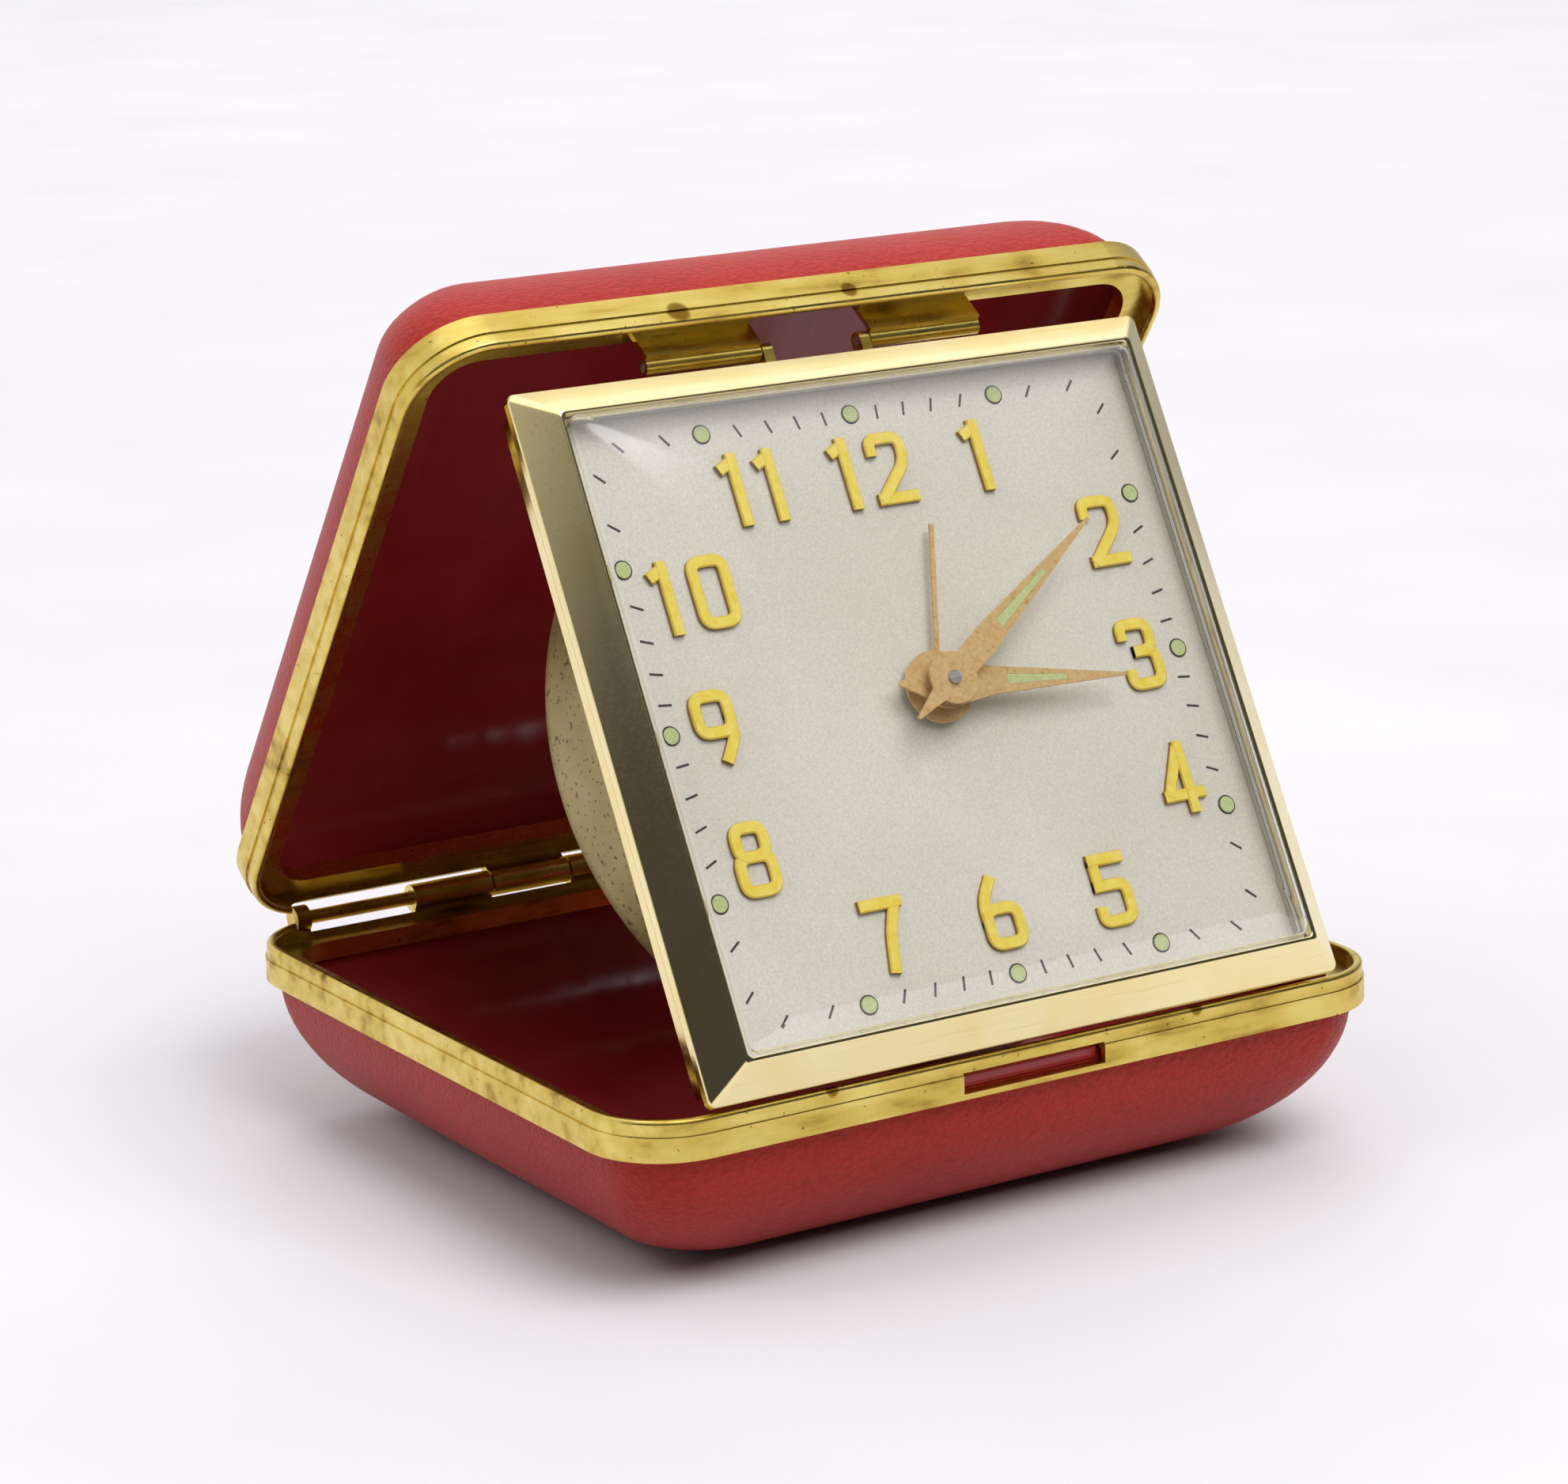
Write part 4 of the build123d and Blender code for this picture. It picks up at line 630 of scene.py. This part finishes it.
bm = bmesh.new()
for hour in range(12):
    x, y = on_track(5 * hour, *DOT_TRACK)
    spot = Matrix.Translation((x, y, DIAL_FACE + DOT_RING_LIFT))
    ring = bmesh.ops.create_circle(bm, segments=32, radius=DOT_RING_RADIUS, cap_ends=True, matrix=spot)
    faces = list({face for vertex in ring["verts"] for face in vertex.link_faces})
    grown = bmesh.ops.extrude_face_region(bm, geom=faces)["geom"]
    bmesh.ops.translate(bm, vec=(0, 0, DOT_RING_HEIGHT),
                        verts=[g for g in grown if isinstance(g, bmesh.types.BMVert)])
bmesh.ops.recalc_face_normals(bm, faces=bm.faces)
piece("dot_rings", bm, clock_place, ink, "clock")

# %% [markdown]
# ## Numerals
# The numerals are stamped from sheet: flat-ended strokes with a chamfer along the top. Each stroke
# is a path whose corners are rounded, and a six-point section is swept along it. The paths are
# given as shares of the digit's box: a loop is closed, a stroke with ends runs on by half its
# width, and a plain one stops where it is told.

# %% Paths of the digits
DIGITS = {
    "0": [("loop", (0, 0), (1, 0), (1, 1), (0, 1))],
    "1": [("ends", (0.55, 0), (0.55, 1)), ("plain", (0.55, 0.97), (0.08, 0.84))],
    "2": [("ends", (0, 0.82), (0, 1), (1, 1), (1, 0.58), (0.05, 0.03)), ("ends", (0, 0), (1, 0))],
    "3": [("ends", (0, 0.84), (0, 1), (0.94, 1), (0.94, 0.54), (0.45, 0.54)),
          ("ends", (0.45, 0.54), (1, 0.54), (1, 0), (0, 0), (0, 0.16))],
    "4": [("ends", (0.74, 0), (0.74, 1)), ("plain", (0.7, 1), (0, 0.22)),
          ("ends", (0, 0.22), (1.05, 0.22))],
    "5": [("ends", (0.94, 1), (0.1, 1)), ("plain", (0.1, 1), (0.1, 0.5)),
          ("ends", (0.1, 0.58), (1, 0.58), (1, 0), (0, 0), (0, 0.16))],
    "6": [("loop", (0, 0), (1, 0), (1, 0.56), (0, 0.56)), ("plain", (0, 0.3), (0, 0.7), (0.45, 1.07))],
    "7": [("ends", (0, 1), (1, 1)), ("plain", (0.98, 1), (0.62, 0.5), (0.42, -0.1))],
    "8": [("loop", (0.06, 0.54), (0.94, 0.54), (0.94, 1), (0.06, 1)),
          ("loop", (0, 0), (1, 0), (1, 0.54), (0, 0.54))],
    "9": [("loop", (0, 0.42), (1, 0.42), (1, 1), (0, 1)), ("plain", (1, 0.7), (1, 0.32), (0.55, -0.07))],
}
STAMP_HALF, STAMP_HEIGHT, STAMP_EDGE, STAMP_ROUND = 0.54, 0.5, 0.13, 0.95
DIGIT_WIDTH, DIGIT_HEIGHT = 4.1, 6.5


def rounded(points, closed):
    """A path with its corners turned into short arcs."""
    path = []
    for i, corner in enumerate(points):
        if not closed and i in (0, len(points) - 1):
            path.append(corner)
            continue
        before, after = points[i - 1] - corner, points[(i + 1) % len(points)] - corner
        reach = min(STAMP_ROUND, 0.48 * before.length, 0.48 * after.length)
        start, end = corner + before.normalized() * reach, corner + after.normalized() * reach
        for t in (0.0, 0.2, 0.4, 0.6, 0.8, 1.0):
            path.append(start * (1 - t) ** 2 + corner * 2 * t * (1 - t) + end * t ** 2)
    return path


def sweep(bm, path, closed, level):
    """Draw the stamped section along a path that stands on a level."""
    section = ((-STAMP_HALF, 0), (-STAMP_HALF, STAMP_HEIGHT - STAMP_EDGE),
               (STAMP_EDGE - STAMP_HALF, STAMP_HEIGHT), (STAMP_HALF - STAMP_EDGE, STAMP_HEIGHT),
               (STAMP_HALF, STAMP_HEIGHT - STAMP_EDGE), (STAMP_HALF, 0))
    steps = [(end - start).normalized() for start, end in zip(path, path[1:] + path[:1])]
    rows = []
    for i, point in enumerate(path):
        ahead = steps[i] if closed or i < len(path) - 1 else steps[i - 1]
        behind = steps[i - 1] if closed or i > 0 else ahead
        way = (ahead + behind).normalized()
        mitre = 1 / max(0.6, way.dot(ahead))
        across = Vector((-way.y, way.x)) * mitre
        rows.append([bm.verts.new((*(point + across * off), level + z)) for off, z in section])
    for first, second in zip(rows, rows[1:] + rows[:1] if closed else rows[1:]):
        for k in range(5):
            bm.faces.new((first[k], first[k + 1], second[k + 1], second[k]))
    if not closed:
        bm.faces.new(rows[0])
        bm.faces.new(rows[-1][::-1])


print(sum(len(strokes) for strokes in DIGITS.values()), "strokes")

# %% [markdown]
# The hours stand on a square track, inside the dots. Those beside twelve and six are drawn in from
# the corners, as on the real dial. Where strokes of a digit cross, each further one lies a hair
# lower, so that no two top faces share a plane.

# %% Stamped numerals
HOUR_TRACK = (21.6, 19.8)
BESIDE_MIDDLE, ON_MIDDLE = 11.4, 1.0
TEN_SHIFT = 1.2
DIGIT_PITCH, ELEVEN_PITCH = 4.4, 3.58
STROKE_DROP = 0.03

bm = bmesh.new()
for hour in range(1, 13):
    x, y = on_track(5 * hour, *HOUR_TRACK)
    if ON_MIDDLE < abs(x) < abs(y):
        x *= BESIDE_MIDDLE / abs(x)
    if hour == 10:
        x += TEN_SHIFT
    pitch = ELEVEN_PITCH if hour == 11 else DIGIT_PITCH
    for index, digit in enumerate(str(hour)):
        middle = x + (index - (len(str(hour)) - 1) / 2) * pitch
        for depth, (kind, *shares) in enumerate(DIGITS[digit]):
            points = [Vector((middle + (u - 0.5) * (DIGIT_WIDTH - 2 * STAMP_HALF),
                              y + (v - 0.5) * (DIGIT_HEIGHT - 2 * STAMP_HALF))) for u, v in shares]
            if kind == "ends":
                points[0] += (points[0] - points[1]).normalized() * STAMP_HALF
                points[-1] += (points[-1] - points[-2]).normalized() * STAMP_HALF
            closed = kind == "loop"
            sweep(bm, rounded(points, closed), closed, DIAL_FACE - STROKE_DROP * depth)
bmesh.ops.recalc_face_normals(bm, faces=bm.faces)
piece("stamped_numerals", bm, clock_place, numeral_gilt, "clock", ["dial_numerals"])

# %% [markdown]
# ## Light, floor and camera
# The clock stands on a wide disc of pale paper, in a small studio. The side that the camera stands on
# is darker, so polished metal shows a dark front and a bright back, as it does in a studio.

# %% Floor
FLOOR_RADIUS = 4.0

bm = bmesh.new()
bmesh.ops.create_circle(bm, cap_ends=True, segments=96, radius=FLOOR_RADIUS)
mesh = bpy.data.meshes.new("floor")
bm.to_mesh(mesh)
bm.free()
floor = bpy.data.objects.new("floor", mesh)
scene.collection.objects.link(floor)
paper, shader, place = finish("white_paper")
fibre = node(paper, "TexNoise", {"Vector": place, "Scale": per_mm(60), "Detail": 3.0})
tone = node(paper, "ValToRGB", {"Fac": fibre.outputs["Fac"]}, stops=[(0.3, "#CBC9CC"), (0.7, "#D0CED1")])
fill(paper, shader, {"Base Color": tone.outputs["Color"], "Roughness": 0.7, "Specular IOR Level": 0.2})
mesh.materials.append(paper)
print("floor", FLOOR_RADIUS, "m")

# %% [markdown]
# The room is painted by direction: bright at the back and overhead, a window high on the left, and
# dark towards the camera and far to the right. One soft glow above the front makes the highlight on
# the crystal's crease. The camera itself sees a plain pale backdrop.

# %% World
world = bpy.data.worlds.new("studio")
scene.world = world
world.use_nodes = True
looking = node(world, "TexCoord").outputs["Generated"]
axes = node(world, "SeparateXYZ", {0: looking}).outputs
bright = {}
for name, axis, dark_end, bright_end, most in (
        ("back", "Y", -0.35, 0.3, 0.62), ("overhead", "Z", 0.6, 0.97, 1.0),
        ("window_height", "Z", 0.47, 0.66, 0.5), ("window_side", "X", -0.5, -0.75, 1.0),
        ("not_far_right", "X", 1.25, 0.45, 1.0)):
    fade = node(world, "MapRange", {"Value": axes[axis], "From Min": dark_end, "From Max": bright_end,
                                    "To Max": most}, interpolation_type="SMOOTHSTEP")
    bright[name] = fade.outputs["Result"]
for name, operation, first, second in (
        ("room", "MAXIMUM", "back", "overhead"), ("window", "MULTIPLY", "window_height", "window_side"),
        ("both", "MAXIMUM", "room", "window"), ("lit", "MULTIPLY", "both", "not_far_right")):
    mix = node(world, "Math", {0: bright[first], 1: bright[second]}, operation=operation)
    bright[name] = mix.outputs[0]
tones = node(world, "ValToRGB", {"Fac": bright["lit"]}, stops=[(0.0, "#363638"), (1.0, "#FAF9FC")])
GLOW_WAY = Vector((0.19, -0.47, 0.86)).normalized()
aim = node(world, "VectorMath", {0: looking, 1: GLOW_WAY}, operation="DOT_PRODUCT")
glow = node(world, "MapRange", {"Value": aim.outputs["Value"], "From Min": 0.94, "From Max": 0.985,
                                "To Min": 1.5, "To Max": 5.0}, interpolation_type="SMOOTHSTEP")
room = world.node_tree.nodes["Background"]
fill(world, room, {"Color": tones.outputs["Color"], "Strength": glow.outputs["Result"]})
seen = node(world, "Background", {"Color": colour("#EEEDF1")})
camera_ray = node(world, "LightPath").outputs["Is Camera Ray"]
pick = node(world, "MixShader", {"Fac": camera_ray, 1: room.outputs[0], 2: seen.outputs[0]})
fill(world, world.node_tree.nodes["World Output"], {"Surface": pick.outputs[0]})
print(world.name, len(world.node_tree.nodes), "nodes")

# %% [markdown]
# Three softboxes light the clock: a large one high in front, a small one at the left, and one that
# washes the backdrop. Reflections come from the room alone, so the lamps are hidden from glossy and
# transmitted rays, or the crystal would show them as hard white squares.

# %% Lamps
def softbox(name, spot, aim, size, power):
    lamp = bpy.data.lights.new(name, "AREA")
    lamp.shape = "SQUARE"
    lamp.size = size
    lamp.energy = power
    made = bpy.data.objects.new(name, lamp)
    made.location = spot
    made.rotation_euler = (Vector(aim) - Vector(spot)).to_track_quat("-Z", "Y").to_euler()
    made.visible_glossy = False
    made.visible_transmission = False
    scene.collection.objects.link(made)


softbox("high_front", (0.15, -0.95, 1.3), (0, 0, 0.04), 1.2, 19.0)
softbox("left_window", (-0.75, 0.1, 0.75), (0, 0, 0.04), 0.35, 1.5)
softbox("backdrop_wash", (0.55, 1.0, 1.0), (0.55, 1.0, 0), 0.8, 5.0)
scene.view_settings.view_transform = "Standard"
print(len(bpy.data.lights), "lamps")

# %% [markdown]
# The camera was solved from points of the case whose places are known: a long lens, a little above
# the table, to the left of the dial, and rolled by a degree.

# %% Camera
AZIMUTH, ELEVATION, ROLL = radians(-31.824), radians(13.97), radians(-1.556)
DISTANCE, TARGET = 416.67, Vector((-1.395, 0.335, 35.928))
FOCAL_PIXELS, IMAGE_WIDTH = 5932.83, 1982

back = Vector((sin(AZIMUTH) * cos(ELEVATION), -cos(AZIMUTH) * cos(ELEVATION), sin(ELEVATION)))
right = Vector((cos(AZIMUTH), sin(AZIMUTH), 0))
up = back.cross(right)
side = right * cos(ROLL) + up * sin(ROLL)
top = up * cos(ROLL) - right * sin(ROLL)
lens = bpy.data.cameras.new("camera")
lens.sensor_width = 36.0
lens.lens = FOCAL_PIXELS * lens.sensor_width / IMAGE_WIDTH
lens.clip_start = 0.01
camera = bpy.data.objects.new("camera", lens)
camera.matrix_world = (Matrix.Translation((TARGET + back * DISTANCE) * MM)
                       @ Matrix((side, top, back)).transposed().to_4x4())
scene.collection.objects.link(camera)
scene.camera = camera
print("lens", round(lens.lens, 2), "mm at", [round(x / MM, 1) for x in camera.location], "mm")
